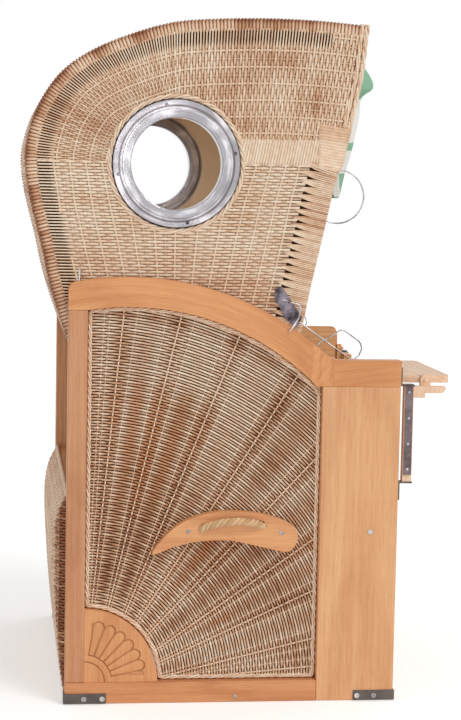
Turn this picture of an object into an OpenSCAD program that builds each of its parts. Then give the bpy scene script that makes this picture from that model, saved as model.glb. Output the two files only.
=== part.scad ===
// Hooded beach chair: wooden side frames with woven panels, a tilting woven hood with
// portholes, two pull-out footrests and two folding side tables.
// X runs across the chair, the sitter faces -Y, and Z is up. Right is the sitter's right, -X.

/* [Side frames] */
// Width over the two side frames
chair_w = 900; // [820:5:1250]
// Thickness of the frame timber
frame_t = 42; // [34:1:50]
// Front face of the frames
frame_front_y = -385; // [-400:1:-370]
// Rear face of the frames
frame_rear_y = 396; // [390:1:405]
// Front to back size of the rear post
post_w = 45; // [35:1:60]
// Front to back size of the wide front board
board_w = 186; // [150:1:200]
// Height of the bottom rail
bottom_rail_h = 51; // [40:1:60]
// Top of the flat arm
arm_top_z = 812; // [800:1:825]
// Height of the flat arm
arm_h = 61; // [50:1:70]
// Outer radius of the curved top rail
rail_r = 684; // [670:1:690]
// Centre of the rail curve, front to back
rail_y = 251.5; // [240:0.5:260]
// Centre of the rail curve, height
rail_z = 316; // [305:1:325]
// Depth of the curved top rail
rail_h = 68; // [55:1:75]
// Radius of the sweep from the rail into the arm
arm_sweep_r = 60; // [30:1:90]
// Radius of the carved corner shell
shell_r = 172; // [120:1:190]
// Petals on each corner shell
shell_petals = 7; // [5:1:9]
// Thickness of the woven panels
weave_t = 12; // [8:1:16]
// Thickness of the crescent handle
handle_t = 25; // [18:1:30]
// Diameter of the rope grip
rope_d = 16; // [12:1:18]
// How far the rope grip stands out from the handle
rope_out = 51; // [44:1:60]

/* [Seat] */
// Top of the seat slats
seat_z = 363; // [350:1:380]
// Thickness of a slat
slat_t = 18; // [12:1:22]
// Number of seat slats
seat_slat_count = 7; // [5:1:9]
// Thickness of the seat rails
seat_rail_t = 18; // [14:1:18]
// Depth of the seat cushion
cushion_d = 453; // [400:1:455]
// Thickness of the seat cushion
cushion_t = 96; // [70:1:110]
// Channels sewn across a cushion
cushion_channels = 4; // [3:1:6]
// Height of the woven rear panel
rear_panel_h = 490; // [485:1:500]

/* [Footrests] */
// Height of a footrest
footrest_h = 254; // [200:1:256]
// Depth of a footrest
footrest_d = 374; // [300:1:400]
// Thickness of the footrest boards
footrest_t = 16; // [12:1:20]
// Slats on top of a footrest
footrest_slats = 5; // [3:1:7]

/* [Hood] */
// Height of the hood pivot
pivot_z = 396; // [390:1:405]
// Hood pivot, front to back
pivot_y = 210; // [205:1:220]
// Radius of the hood pivot pin
pivot_r = 10; // [8:0.5:12]
// Radius of the hood's lower edge about the pivot
skirt_r = 580; // [570:1:585]
// Thickness of the hood's side timber
hood_frame_t = 16; // [12:1:18]
// Thickness of the linings
lining_t = 4; // [3:0.5:6]
// Width of the plaited edge
rim_w = 22; // [16:1:26]
// Thickness of the back cushion
back_cushion_t = 80; // [60:1:90]

/* [Portholes] */
// Radius of the clear opening
port_r = 106.5; // [90:0.5:110]
// Outer radius of the flange
port_flange_r = 148; // [140:1:155]
// Height of the raised lip
port_lip = 8; // [4:1:12]
// Porthole centre, front to back
port_y = 148.5; // [140:0.5:160]
// Porthole centre, height
port_z = 1262; // [1250:1:1275]

/* [Awning and fittings] */
// Length of the awning's side arms
bow_arm = 196; // [185:1:205]
// Radius of the awning's cross bar
bow_bar_r = 8; // [6:0.5:10]
// Radius of the towel ring
ring_r = 63; // [50:1:66]
// Wire diameter of the ring and the bails
wire_d = 3.5; // [3:0.1:4]

/* [Side tables] */
// Length of a table leaf
leaf_l = 363; // [300:1:365]
// Width of a table leaf
leaf_w = 122; // [100:1:122]
// Thickness of a table leaf
leaf_t = 18; // [14:1:20]
// Width of the swinging post
table_post_w = 22; // [18:1:22]
// Height of the leaf's centre line
leaf_z = 766; // [764:1:770]

/* [Hidden] */
$fn = 64;
fit_gap = 0.3;
run_gap = 0.06;
half_w = chair_w / 2;
inner_x = half_w - frame_t;
panel_x = half_w - frame_t / 2 - 3 - weave_t / 2;
panel_face_x = panel_x + weave_t;
board_rear_y = frame_front_y + board_w;
post_front_y = frame_rear_y - post_w;
rail_in_r = rail_r - rail_h;
arm_base_z = arm_top_z - arm_h;
plate_t = 3;
plate_l = 97;
// Bolts and screws in the side view
plate_bolts_y = [frame_rear_y - plate_l + 9, frame_rear_y - 45, frame_front_y + 48, frame_front_y + plate_l - 9];
plate_bolt_z = 13;
board_bolt = [frame_front_y + 65, 406];
rail_bolt = [-6, 14];
handle_screws = [[112.5, 410], [-107.5, 406]];
wood = "#dca26f";
cane = "#c9a079";
steel = "#b9babd";
dark_steel = "#55565a";
linen = "#e9e6dc";
green = "#86a891";
tan_lining = "#b58b66";
rope_colour = "#cbb083";

// The hood stands between the frames, in layers from outside to inside
hood_gap = 8;
hood_x = inner_x - hood_gap;
hood_frame_x = hood_x - weave_t;
lining_x = hood_frame_x - hood_frame_t;
cabin_x = lining_x - lining_t;
// Far enough out to cut with
far = 2000;
// Roof and back of the hood seen from the side, from the front of the roof to the seat
hood_line = [[-300, 1592], [-178, 1601], [-51, 1603], [86, 1597], [170, 1586], [266, 1556], [352, 1517],
    [420, 1466], [470, 1392], [494, 1320], [500, 1262], [489, 1180], [461, 1069], [437, 966], [394, 839],
    [330, 694], [262, 478]];
// Front edge of the hood sides, from the roof down to the arm
mouth_line = [[-300, 1592], [-290, 1488], [-279, 1426], [-262, 1349], [-247, 1280], [-229, 1225],
    [-205, 1110], [-176, 977], [-161, 895], [-149, 838]];
lining_in = 26;
backrest_low = [180, 446];
backrest_high = [312, 1120];
backrest_t = 12;
skirt_rear_y = 345;
skirt_rear_z = 800;

// Rear panel profile, from the floor to its top edge
rear_line = [[395.5, 6], [407, 80], [418, 200], [427.5, 358], [419.5, 435], [393.5, rear_panel_h]];
rear_wall = 10;
rear_start_y = 386.5;
rear_round = 64;
rear_reach = 31;

// Crescent handle, drawn round its outline
handle_line = [[196, 356], [164, 401], [118, 435], [48, 455], [-42, 453], [-104, 438], [-140, 416],
    [-146, 390], [-132, 366], [-112, 361], [-50, 375], [14, 388], [86, 386], [144, 374]];
rope_rear = [87.5, 408];
rope_front = [-69.5, 417];
rope_lift = 38.7;

// Seat, rails and footrests
seat_rail_x = inner_x - seat_rail_t;
seat_rail_h = 55;
seat_rail_top = seat_z - slat_t;
seat_rail_z = seat_rail_top - seat_rail_h;
boss_r = 45;
cross_t = 25;
cross_front_y = frame_front_y + 23;
divider_t = 18;
runner_z = 24;
runner_h = 12;
runner_rear_y = 300;
floor_bar_h = 22;
seat_slat_w = 60;
seat_rear_y = 150;
seat_front_y = cross_front_y + 2;
cushion_x = cabin_x + 14;
cushion_front_y = frame_front_y + 7;
footrest_in_x = divider_t / 2 + 2;
footrest_out_x = inner_x - 2;
footrest_front_y = frame_front_y + 1;
footrest_z = 26;
footrest_top_z = footrest_z + footrest_h;
footrest_border = 45;
pull_w = 110;

// Awning, ring, latches and wire bails
bow_pivot = [-222, 1395];
bow_lean = 4;
bow_bar_y = bow_pivot[0] - bow_arm * sin(bow_lean);
bow_bar_z = bow_pivot[1] - bow_arm * cos(bow_lean);
bow_x = cabin_x - 13;
awning_x = cabin_x - 18;
awning_t = 3;
head_bar_y = mouth_line[0][0] + rim_w + 6;
head_bar_z = mouth_line[0][1] - 56;
awning_line = [[head_bar_y - awning_t - fit_gap, head_bar_z + 14], [-284, 1515], [-300, 1494], [-318, 1466], [-318, 1446], [-293, 1425],
    [-289, 1383], [-278, 1325], [-270, 1290], [-258, 1249],
    [bow_bar_y - bow_bar_r - awning_t - fit_gap, bow_bar_z]];
head_bar = [28, 26];
ring_centre = [-237, 1193];
ring_hinge_z = 1258;
ring_x = cabin_x - 4.25;
ring_block_y = [-201, -175];
// The latches keep their height over the curved rail, and their parts keep to the lever's pivot
latch_rise = 46;
latch_angle = 120.05;
latch_t = 2;
lever_pivot = [rail_y, rail_z] + (rail_r + latch_rise) * [cos(latch_angle), sin(latch_angle)];
function by_lever(p) = [for (q = p) lever_pivot + q];
latch_line = by_lever([[25.5, 27], [9.5, 32], [-39.5, -40], [-26.5, -64], [2.5, -40], [27.5, 9]]);
latch_pin = lever_pivot + [17, 18];
lever_d = 5;
lever_line = by_lever([[-6, -1], [-22, -6], [-26, -12], [-23, -36], [-12, -54], [-1.5, -69]]);
lever_x = half_w + 6;
bail_pivot = lever_pivot + [-28, -49];
bail_line = by_lever([[-28, -49], [-35, -52], [-148, -131], [-157, -137], [-166, -136], [-176, -128], [-183, -112],
    [-180, -100], [-176, -94], [-142, -70], [-131, -68], [-118, -77], [-96, -91], [-87, -94], [-74, -105]]);
bail_x = hood_x + latch_t + 2.3;
stop_pin_y = 371;
stop_pin_d = 5;
stop_pin_l = 42.5;
stop_pin_depth = 14;

// Side tables, drawn in use on the right
swing_x = -(half_w - 14);
swing_y = frame_front_y - 20;
table_post_z = 526;
arm_plate_drop = 30;
arm_plate_z = leaf_z - arm_plate_drop;
arm_plate_t = 16;
arm_plate_end = 87.5;
leaf_y = swing_y - 43.5;
leaf_start_x = -inner_x;
leaf_pin_r = 4;
swing_pin_r = 5;
swing_pin_l = 18;
table_plate_t = 3;
table_strip_t = 2;
table_strip_z = [548, 750];
table_screws_z = [554, 610, 673, 735];

// A smooth line through points, with n steps to each pair
function spline(p, n) = [for (i = [0 : len(p) - 2], k = [0 : n - 1]) spline_at(p, i, k / n), p[len(p) - 1]];
function spline_at(p, i, t) = let (
    a = p[max(i - 1, 0)], b = p[i], c = p[i + 1], d = p[min(i + 2, len(p) - 1)])
    0.5 * (2 * b + (c - a) * t + (2 * a - 5 * b + 4 * c - d) * t * t + (3 * b - a - 3 * c + d) * t * t * t);
// A closed smooth line through points
function ring_spline(p, n) = [for (i = [0 : len(p) - 1], k = [0 : n - 1]) ring_at(p, i, k / n)];
function ring_at(p, i, t) = let (m = len(p),
    a = p[(i + m - 1) % m], b = p[i], c = p[(i + 1) % m], d = p[(i + 2) % m])
    0.5 * (2 * b + (c - a) * t + (2 * a - 5 * b + 4 * c - d) * t * t + (3 * b - a - 3 * c + d) * t * t * t);
// The same line moved sideways by g, to the right of its direction
function shifted(p, g) = [for (i = [0 : len(p) - 1]) let (
    v = p[min(i + 1, len(p) - 1)] - p[max(i - 1, 0)]) p[i] + g * [v[1], -v[0]] / norm(v)];
function reversed(p) = [for (i = [len(p) - 1 : -1 : 0]) p[i]];
function strip(p, g0, g1) = concat(shifted(p, g0), reversed(shifted(p, g1)));

hood_curve = spline(hood_line, 5);
mouth_curve = spline(mouth_line, 3);

// Draws a side view outline as a board from x0 to x1
module board(x0, x1) translate([x0, 0, 0]) rotate([90, 0, 90]) linear_extrude(x1 - x0) children();
// Puts what is drawn at +X on the left, or its mirror image on the right
module side(s) {
    if (s < 0) mirror([1, 0, 0]) children();
    else children();
}
module pin_x(x0, x1, at, r) translate([x0, at[0], at[1]]) rotate([0, 90, 0]) cylinder(h = x1 - x0, r = r);
module box2(y0, y1, z0, z1) translate([y0, z0]) square([y1 - y0, z1 - z0]);
module block(x, y, z) translate([x[0], y[0], z[0]]) cube([x[1] - x[0], y[1] - y[0], z[1] - z[0]]);
function unit(v) = v / norm(v);
function tangents(p) = [for (i = [0 : len(p) - 1]) i == 0 ? unit(p[1] - p[0])
    : i == len(p) - 1 ? unit(p[i] - p[i - 1]) : unit(unit(p[i + 1] - p[i]) + unit(p[i] - p[i - 1]))];
// Carries a sideways direction along the line without twisting it
function sideways(t, i, u) = i == len(t) ? []
    : let (w = unit(u - (u * t[i]) * t[i])) concat([w], sideways(t, i + 1, w));
// A round wire swept along points in space
module wire(p, d, sides = 8) {
    t = tangents(p);
    u = sideways(t, 0, [0.1, 0.2, 0.97]);
    last = len(p) - 1;
    points = [for (i = [0 : last], k = [0 : sides - 1]) let (a = 360 * k / sides)
        p[i] + d / 2 * (cos(a) * u[i] + sin(a) * cross(t[i], u[i]))];
    flanks = [for (i = [0 : last - 1], k = [0 : sides - 1], h = [0, 1]) let (
        a = i * sides + k, b = i * sides + (k + 1) % sides)
        h == 0 ? [a, a + sides, b + sides] : [a, b + sides, b]];
    caps = [for (k = [1 : sides - 2], e = [0, 1]) e == 0 ? [0, k, k + 1]
        : [last * sides, last * sides + k + 1, last * sides + k]];
    polyhedron(points, concat(flanks, caps));
}
function at_x(p, x) = [for (q = p) [x, q[0], q[1]]];
function arc(c, r, a0, a1, n) = [for (i = [0 : n]) let (a = a0 + (a1 - a0) * i / n) c + r * [cos(a), sin(a)]];

// Side frames
// Inner edge of the curved rail, from the rear post to the arm
rail_in_line = arc([rail_y, rail_z], rail_in_r, acos((post_front_y - rail_y) / rail_in_r),
    180 - asin((arm_base_z - rail_z) / rail_in_r), 40);
module rail_outline() {
    centre = [rail_y, rail_z];
    sweep_z = arm_top_z + arm_sweep_r;
    sweep_y = rail_y - sqrt(pow(rail_r + arm_sweep_r, 2) - pow(sweep_z - rail_z, 2));
    sweep_angle = atan2(sweep_z - rail_z, sweep_y - rail_y);
    corner_r = 20;
    corner_y = frame_rear_y - corner_r;
    corner_z = rail_z + sqrt(pow(rail_r - corner_r, 2) - pow(corner_y - rail_y, 2));
    corner_angle = atan2(corner_z - rail_z, corner_y - rail_y);
    polygon(concat(
        arc(centre, rail_r, sweep_angle, corner_angle, 40),
        arc([corner_y, corner_z], corner_r, corner_angle, 0, 8),
        [[frame_rear_y, rail_in_line[0][1]]], rail_in_line,
        [[frame_front_y, arm_base_z], [frame_front_y, arm_top_z]],
        arc([sweep_y, sweep_z], arm_sweep_r, -90, sweep_angle - 180, 8)));
}
module top_rail(s) {
    color(wood) side(s) difference() {
        board(inner_x, half_w) rail_outline();
        stop_pin();
    }
}
module rear_post(s) {
    color(wood) side(s) board(inner_x, half_w)
        box2(post_front_y, frame_rear_y, bottom_rail_h, rail_in_line[0][1]);
}
module front_board(s) color(wood) side(s) board(inner_x, half_w) box2(frame_front_y, board_rear_y, 0, arm_base_z);
module bottom_rails() {
    color(wood) for (s = [-1, 1]) side(s) board(inner_x, half_w) box2(board_rear_y, frame_rear_y, 0, bottom_rail_h);
}
// Quarter round of a corner shell, with its hub at the frame corner
module shell_quarter(r) {
    intersection() {
        translate([post_front_y, bottom_rail_h]) circle(r, $fn = 128);
        box2(post_front_y - r, post_front_y, bottom_rail_h, bottom_rail_h + r);
    }
}
module petal(angle, grow) {
    tip_r = 126;
    w = tip_r * sin(45 / shell_petals) + grow - 1.2;
    translate([post_front_y, bottom_rail_h]) rotate(180 - angle) {
        translate([tip_r, 0]) circle(w);
        polygon([[50, -w * 0.42], [tip_r, -w], [tip_r, w], [50, w * 0.42]]);
    }
}
module petals(grow) {
    step = 90 / shell_petals;
    intersection() {
        difference() {
            for (k = [0 : shell_petals - 1]) petal(step * (k + 0.5), grow);
            translate([post_front_y, bottom_rail_h]) circle(66 - grow);
        }
        shell_quarter(shell_r - 4);
    }
}
module corner_shells() {
    relief = 3.2;
    face_x = half_w - 3;
    color(wood) for (s = [-1, 1]) side(s) {
        difference() {
            board(panel_x - 2, face_x) shell_quarter(shell_r);
            board(face_x - relief, face_x + 1) petals(1.6);
            board(face_x - relief, face_x + 1) difference() {
                shell_quarter(52);
                shell_quarter(49.5);
            }
        }
        board(face_x - relief - 1, face_x - 0.6) petals(0);
    }
}
module side_panel(s) {
    color(cane) side(s) board(panel_x, panel_face_x) difference() {
        intersection() {
            polygon(concat(rail_in_line, [[-far, arm_base_z], [-far, 0], [post_front_y, 0]]));
            box2(board_rear_y, post_front_y, bottom_rail_h, rail_z + rail_r);
        }
        shell_quarter(shell_r + 1);
    }
}
module carry_handle(s) {
    color(wood) side(s) difference() {
        board(panel_face_x, panel_face_x + handle_t) polygon(ring_spline(handle_line, 5));
        rope_path(fit_gap, panel_face_x - 1);
    }
}
module rope_grip(s) color(rope_colour) side(s) rope_path(0, panel_face_x + 2);
// The rope's way through the handle and out round the fingers, made thicker all round by grow
module rope_path(grow, start_x) {
    v = rope_rear - rope_front;
    half = norm(v) / 2;
    r = (half * half + rope_out * rope_out) / (2 * rope_out);
    a = asin(half / r);
    mid = (rope_rear + rope_front) / 2;
    exit_x = panel_face_x + handle_t - 12;
    overlap = 6;
    translate([exit_x, mid[0], mid[1]]) rotate([atan2(v[1], v[0]), 0, 0]) rotate([0, -rope_lift, 0])
        translate([rope_out - r, 0, 0]) rotate([0, 0, -a]) rotate_extrude(angle = 2 * a)
        translate([r, 0]) circle(rope_d / 2 + grow, $fn = 24);
    for (at = [rope_rear, rope_front]) pin_x(start_x, exit_x + overlap, at, rope_d / 2 + grow);
}
module corner_plates() {
    plate_h = 25;
    wrap = 30;
    color(dark_steel) for (s = [-1, 1]) side(s) {
        block([half_w, half_w + plate_t], [frame_rear_y - plate_l, frame_rear_y + plate_t], [1, plate_h]);
        block([half_w - wrap, half_w], [frame_rear_y, frame_rear_y + plate_t], [1, plate_h]);
        block([half_w, half_w + plate_t], [frame_front_y - plate_t, frame_front_y + plate_l], [1, plate_h]);
        block([half_w - wrap, half_w], [frame_front_y - plate_t, frame_front_y], [1, plate_h]);
    }
}
// A round headed bolt standing on a face at x
module bolt_head(x, at, r, h) pin_x(x, x + h, at, r);
module frame_bolts() {
    color(steel) for (s = [-1, 1]) side(s) {
        for (y = plate_bolts_y) bolt_head(half_w + plate_t, [y, plate_bolt_z], 6.5, 4);
        bolt_head(half_w, board_bolt, 6, 2.5);
        bolt_head(half_w, rail_bolt, 4.5, 2);
        for (at = handle_screws) bolt_head(panel_face_x + handle_t, at, 5, 1.6);
    }
}

// Seat and carcass
module seat_rail(s) {
    color(wood) side(s) difference() {
        union() {
            board(seat_rail_x, inner_x) box2(cross_front_y, post_front_y, seat_rail_z, seat_rail_top);
            board(seat_rail_x, inner_x) box2(pivot_y - boss_r, pivot_y + boss_r, seat_rail_z, pivot_z);
            pin_x(seat_rail_x, inner_x, [pivot_y, pivot_z], boss_r);
        }
        pin_x(seat_rail_x - 1, inner_x + 1, [pivot_y, pivot_z], pivot_r);
    }
}
module pivot_pins() {
    head_r = pivot_r + 6;
    color(steel) for (s = [-1, 1]) side(s) {
        pin_x(lining_x - 6, inner_x, [pivot_y, pivot_z], pivot_r);
        pin_x(lining_x - 6, lining_x - fit_gap, [pivot_y, pivot_z], head_r);
        pin_x(hood_frame_x + fit_gap, seat_rail_x, [pivot_y, pivot_z], head_r);
    }
}
module cross_rails() {
    color(wood) {
        block([-seat_rail_x, seat_rail_x], [cross_front_y, cross_front_y + cross_t],
            [seat_rail_z - 5, seat_rail_top]);
        block([-inner_x, inner_x], [frame_front_y, frame_front_y + floor_bar_h], [0, floor_bar_h]);
        block([-inner_x, inner_x], [post_front_y, rear_start_y - 0.5], [0, bottom_rail_h]);
        block([-inner_x, inner_x], [post_front_y, rear_start_y - 0.5], [rear_panel_h - 58, rear_panel_h - 8]);
    }
}
module centre_divider() {
    color(wood) block([-divider_t / 2, divider_t / 2], [cross_front_y + cross_t, post_front_y],
        [floor_bar_h, seat_rail_top]);
}
module drawer_runners() {
    y = [cross_front_y + 4, runner_rear_y];
    color(wood) for (s = [-1, 1]) side(s) {
        block([footrest_out_x - footrest_t, inner_x], y, [runner_z, runner_z + runner_h]);
        block([divider_t / 2, footrest_in_x + footrest_t], y, [runner_z, runner_z + runner_h]);
    }
}
module seat_slats() {
    pitch = (seat_rear_y - seat_front_y - seat_slat_w) / (seat_slat_count - 1);
    color(wood) for (k = [0 : seat_slat_count - 1])
        block([-inner_x + 3, inner_x - 3], [seat_front_y + k * pitch, seat_front_y + k * pitch + seat_slat_w],
            [seat_rail_top, seat_z]);
}
// The woven rear panel bulges back between the posts and draws in at its ends
module rear_bulge(g) {
    curve = spline(rear_line, 6);
    side_line = shifted(curve, g);
    end_x = inner_x - g;
    plan_round = [for (a = [0 : 9 : 90]) [end_x - rear_round + rear_round * sin(a),
        frame_rear_y + 1 - g + rear_reach * cos(a)]];
    plan = concat([[0, rear_start_y - g], [0, frame_rear_y + 1 - g + rear_reach]], plan_round,
        [[end_x, rear_start_y - g]]);
    intersection() {
        board(-end_x, end_x) polygon(concat([[rear_start_y - g, side_line[0][1]]], side_line,
            [[rear_start_y - g, rear_panel_h]]));
        for (m = [0, 1]) mirror([m, 0, 0]) linear_extrude(rear_panel_h + 10) polygon(plan);
    }
}
module rear_panel() {
    color(cane) difference() {
        rear_bulge(0);
        rear_bulge(rear_wall);
    }
}
module stop_pin() {
    seat = rail_z + sqrt(pow(rail_r, 2) - pow(stop_pin_y - rail_y, 2)) - stop_pin_depth;
    translate([half_w - frame_t / 2, stop_pin_y, seat]) cylinder(h = stop_pin_l, d = stop_pin_d, $fn = 24);
}
module rear_stop_pins() color(steel) for (s = [-1, 1]) side(s) stop_pin();
// One cushion lying flat: crowned, drawn in at its sides, with channels across it
module cushion(w, d, t, n) {
    nx = 20;
    ny = n * 5;
    step_x = w / nx;
    step_y = d / ny;
    function lift(i, j) = let (
        ex = 1 - pow(abs(2 * i / nx - 1), 4), ey = 1 - pow(abs(2 * j / ny - 1), 6),
        channel = pow(abs(sin(180 * j * n / ny)), 0.5))
        sqrt(max(ex * ey, 0)) * (0.86 + 0.14 * channel);
    function pull(i, n_all) = sin(180 * i / n_all);
    function at(i, j, up) = [
        (i - nx / 2) * step_x * (0.985 + 0.015 * (1 - pull(j, ny))),
        (j - ny / 2) * step_y * (0.985 + 0.015 * (1 - pull(i, nx))),
        t / 2 + up * (t / 2) * (0.16 + 0.84 * lift(i, j))];
    side_n = ny + 1;
    total = (nx + 1) * side_n;
    points = concat([for (i = [0 : nx], j = [0 : ny]) at(i, j, 1)], [for (i = [0 : nx], j = [0 : ny]) at(i, j, -1)]);
    function id(i, j, k) = k * total + i * side_n + j;
    top = [for (i = [0 : nx - 1], j = [0 : ny - 1], h = [0, 1]) h == 0
        ? [id(i, j, 0), id(i, j + 1, 0), id(i + 1, j + 1, 0)] : [id(i, j, 0), id(i + 1, j + 1, 0), id(i + 1, j, 0)]];
    low = [for (f = top) [f[0] + total, f[2] + total, f[1] + total]];
    ends = [for (i = [0 : nx - 1], e = [0, ny], h = [0, 1]) let (
        a = id(i, e, 0), b = id(i + 1, e, 0), c = id(i + 1, e, 1), q = id(i, e, 1))
        h == 0 ? (e == 0 ? [a, b, c] : [a, c, b]) : (e == 0 ? [a, c, q] : [a, q, c])];
    flanks = [for (j = [0 : ny - 1], e = [0, nx], h = [0, 1]) let (
        a = id(e, j, 0), b = id(e, j + 1, 0), c = id(e, j + 1, 1), q = id(e, j, 1))
        h == 0 ? (e == 0 ? [a, c, b] : [a, b, c]) : (e == 0 ? [a, q, c] : [a, c, q])];
    polyhedron(points, concat(top, low, ends, flanks));
}
module seat_cushion() {
    color(green) translate([0, cushion_front_y + cushion_d / 2, seat_z + fit_gap])
        cushion(2 * cushion_x, cushion_d, cushion_t, cushion_channels);
}

// Footrests
module footrest(s) {
    back_y = footrest_front_y + footrest_d;
    base_z = runner_z + runner_h + fit_gap;
    front_t = 20;
    pitch = (footrest_d - front_t - 50) / (footrest_slats - 1);
    color(wood) side(s) {
        difference() {
            block([footrest_in_x, footrest_out_x], [footrest_front_y, footrest_front_y + front_t],
                [footrest_z, footrest_top_z]);
            block([footrest_in_x + footrest_border, footrest_out_x - footrest_border],
                [footrest_front_y - 1, footrest_front_y + front_t + 1],
                [footrest_z + footrest_border, footrest_top_z - footrest_border]);
        }
        difference() {
            block([footrest_in_x, footrest_out_x], [footrest_front_y + front_t, back_y],
                [base_z, footrest_top_z - slat_t]);
            block([footrest_in_x + footrest_t, footrest_out_x - footrest_t],
                [footrest_front_y + front_t - 1, back_y - footrest_t], [0, footrest_top_z]);
        }
        for (k = [0 : footrest_slats - 1])
            block([footrest_in_x, footrest_out_x], [footrest_front_y + front_t + k * pitch,
                footrest_front_y + front_t + k * pitch + 50], [footrest_top_z - slat_t, footrest_top_z]);
    }
}
module footrest_panel(s) {
    color(cane) side(s) block([footrest_in_x + footrest_border, footrest_out_x - footrest_border],
        [footrest_front_y + 4, footrest_front_y + 4 + weave_t],
        [footrest_z + footrest_border, footrest_top_z - footrest_border]);
}
module footrest_pull(s) {
    mid_x = (footrest_in_x + footrest_out_x) / 2;
    pull_z = footrest_top_z - footrest_border / 2;
    color(steel) side(s) {
        for (e = [-1, 1]) translate([mid_x + e * pull_w / 2, footrest_front_y, pull_z]) rotate([90, 0, 0])
            cylinder(h = 22, r = 5, $fn = 24);
        translate([mid_x - pull_w / 2, footrest_front_y - 22, pull_z]) rotate([0, 90, 0])
            cylinder(h = pull_w, r = 5, $fn = 24);
        for (e = [-1, 1]) translate([mid_x + e * pull_w / 2, footrest_front_y - 22, pull_z]) sphere(5, $fn = 24);
    }
}

// Hood
// Everything in front of the mouth, moved back by m
module before_mouth(m) {
    line = shifted(mouth_curve, -m);
    last = line[len(line) - 1];
    polygon(concat([[-far, far], [line[0][0] - 14, far]], line, [[last[0] + 30, 0], [-far, 0]]));
}
// Side view of the hood, drawn in by g from the roof and back, by m from the mouth, and by up from below
module hood_area(g, m, up = 0) {
    difference() {
        polygon(concat(shifted(hood_curve, g), [[pivot_y, pivot_z], [-far, pivot_z], [-far, mouth_line[0][1] - g]]));
        before_mouth(m);
        intersection() {
            translate([pivot_y, pivot_z]) circle(skirt_r + up, $fn = 256);
            box2(-far, skirt_rear_y - g / 2 - up, 0, far);
        }
        box2(-far, far, 0, skirt_rear_z + up);
    }
}
module hood_side(s) {
    color(cane) side(s) difference() {
        board(hood_frame_x, hood_x) hood_area(0, rim_w);
        pin_x(hood_frame_x - 1, hood_x + 1, [port_y, port_z], port_r + 5.5);
    }
}
module hood_shell() {
    color(cane) board(-hood_frame_x, hood_frame_x) difference() {
        polygon(strip(hood_curve, 0, weave_t));
        before_mouth(rim_w);
    }
}
module hood_rim() {
    rim_h = 29;
    color(cane) {
        for (s = [-1, 1]) side(s) board(cabin_x - 2, hood_x) polygon(strip(mouth_curve, 0, -rim_w));
        board(-cabin_x + 2, cabin_x - 2) intersection() {
            polygon(strip(mouth_curve, 0, -rim_w));
            box2(-far, 0, mouth_line[0][1] - rim_h, far);
        }
    }
}
module hood_frame(s) {
    bar = 40;
    arm_w = 76;
    color(wood) side(s) difference() {
        union() {
            board(lining_x, hood_frame_x) difference() {
                hood_area(weave_t, rim_w);
                hood_area(weave_t + bar, rim_w + bar, bar);
            }
            pin_x(lining_x, hood_frame_x, [port_y, port_z], port_flange_r);
            board(lining_x, hood_frame_x) box2(port_y - bar / 2, port_y + bar / 2, port_z + port_r + 10, mouth_line[0][1] - 27);
            board(lining_x, hood_frame_x)
                box2(pivot_y - arm_w / 2, pivot_y + arm_w / 2, pivot_z, port_z - port_r + 10);
            pin_x(lining_x, hood_frame_x, [pivot_y, pivot_z], arm_w / 2);
        }
        pin_x(lining_x - 1, hood_frame_x + 1, [port_y, port_z], port_r + 5.5);
        pin_x(lining_x - 1, hood_frame_x + 1, [pivot_y, pivot_z], pivot_r + run_gap);
    }
}
module side_lining(s) {
    color(tan_lining) side(s) difference() {
        board(cabin_x, lining_x) hood_area(weave_t + 2, rim_w);
        pin_x(cabin_x - 1, lining_x + 1, [port_y, port_z], port_r + 5.5);
    }
}
module back_lining() {
    color(tan_lining) board(-cabin_x, cabin_x) difference() {
        polygon(strip(hood_curve, lining_in, lining_in + lining_t));
        before_mouth(rim_w);
        box2(-far, far, 0, skirt_rear_z);
    }
}
backrest_lean = atan2(backrest_high[0] - backrest_low[0], backrest_high[1] - backrest_low[1]);
backrest_l = norm(backrest_high - backrest_low);
// Draws in the plane of the backrest: X across, Y up the board, Z out of its front face
module on_backrest() translate([0, backrest_low[0], backrest_low[1]]) rotate([90 - backrest_lean, 0, 0]) children();
module backrest_board() {
    color(wood) on_backrest() translate([-cabin_x, 0, -backrest_t]) cube([2 * cabin_x, backrest_l, backrest_t]);
}
module back_cushion() {
    gap = 18;
    cushion_l = backrest_l - 30;
    color(green) on_backrest() translate([0, 10 + cushion_l / 2, fit_gap])
        cushion(2 * cabin_x - gap, cushion_l, back_cushion_t, cushion_channels + 1);
}
module hood_cross_bars() {
    bar = 26;
    color(wood) {
        block([-cabin_x, cabin_x], [head_bar_y, head_bar_y + head_bar[0]], [head_bar_z, head_bar_z + head_bar[1]]);
        on_backrest() translate([-lining_x, 0, -backrest_t - bar]) cube([2 * lining_x, 2 * bar, bar]);
        on_backrest() translate([-cabin_x, backrest_l - 2 * bar, -backrest_t - bar]) cube([2 * cabin_x, 2 * bar, bar]);
    }
}
// Cross section of an aluminium porthole ring, turned round the porthole axis
module ring_section(r0, r1, x0, x1) translate([r0, x0]) square([r1 - r0, x1 - x0]);
module on_port(s) side(s) translate([0, port_y, port_z]) rotate([0, 90, 0]) children();
module porthole(s) {
    flange_t = 3.5;
    lip_r = port_r + 21;
    barrel_t = 4;
    color(steel) on_port(s) rotate_extrude($fn = 128) {
        difference() {
            union() {
                ring_section(port_r, port_flange_r, hood_x, hood_x + flange_t);
                ring_section(port_r, lip_r, hood_x, hood_x + port_lip - 3);
                ring_section(port_r + 3, lip_r - 3, hood_x, hood_x + port_lip);
                translate([port_r + 3, hood_x + port_lip - 3]) circle(3, $fn = 32);
                translate([lip_r - 3, hood_x + port_lip - 3]) circle(3, $fn = 32);
            }
            translate([port_flange_r, hood_x + flange_t]) rotate(45) square(2, center = true);
        }
        ring_section(port_r, port_r + barrel_t, cabin_x - 4, hood_x + 1);
    }
}
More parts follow.
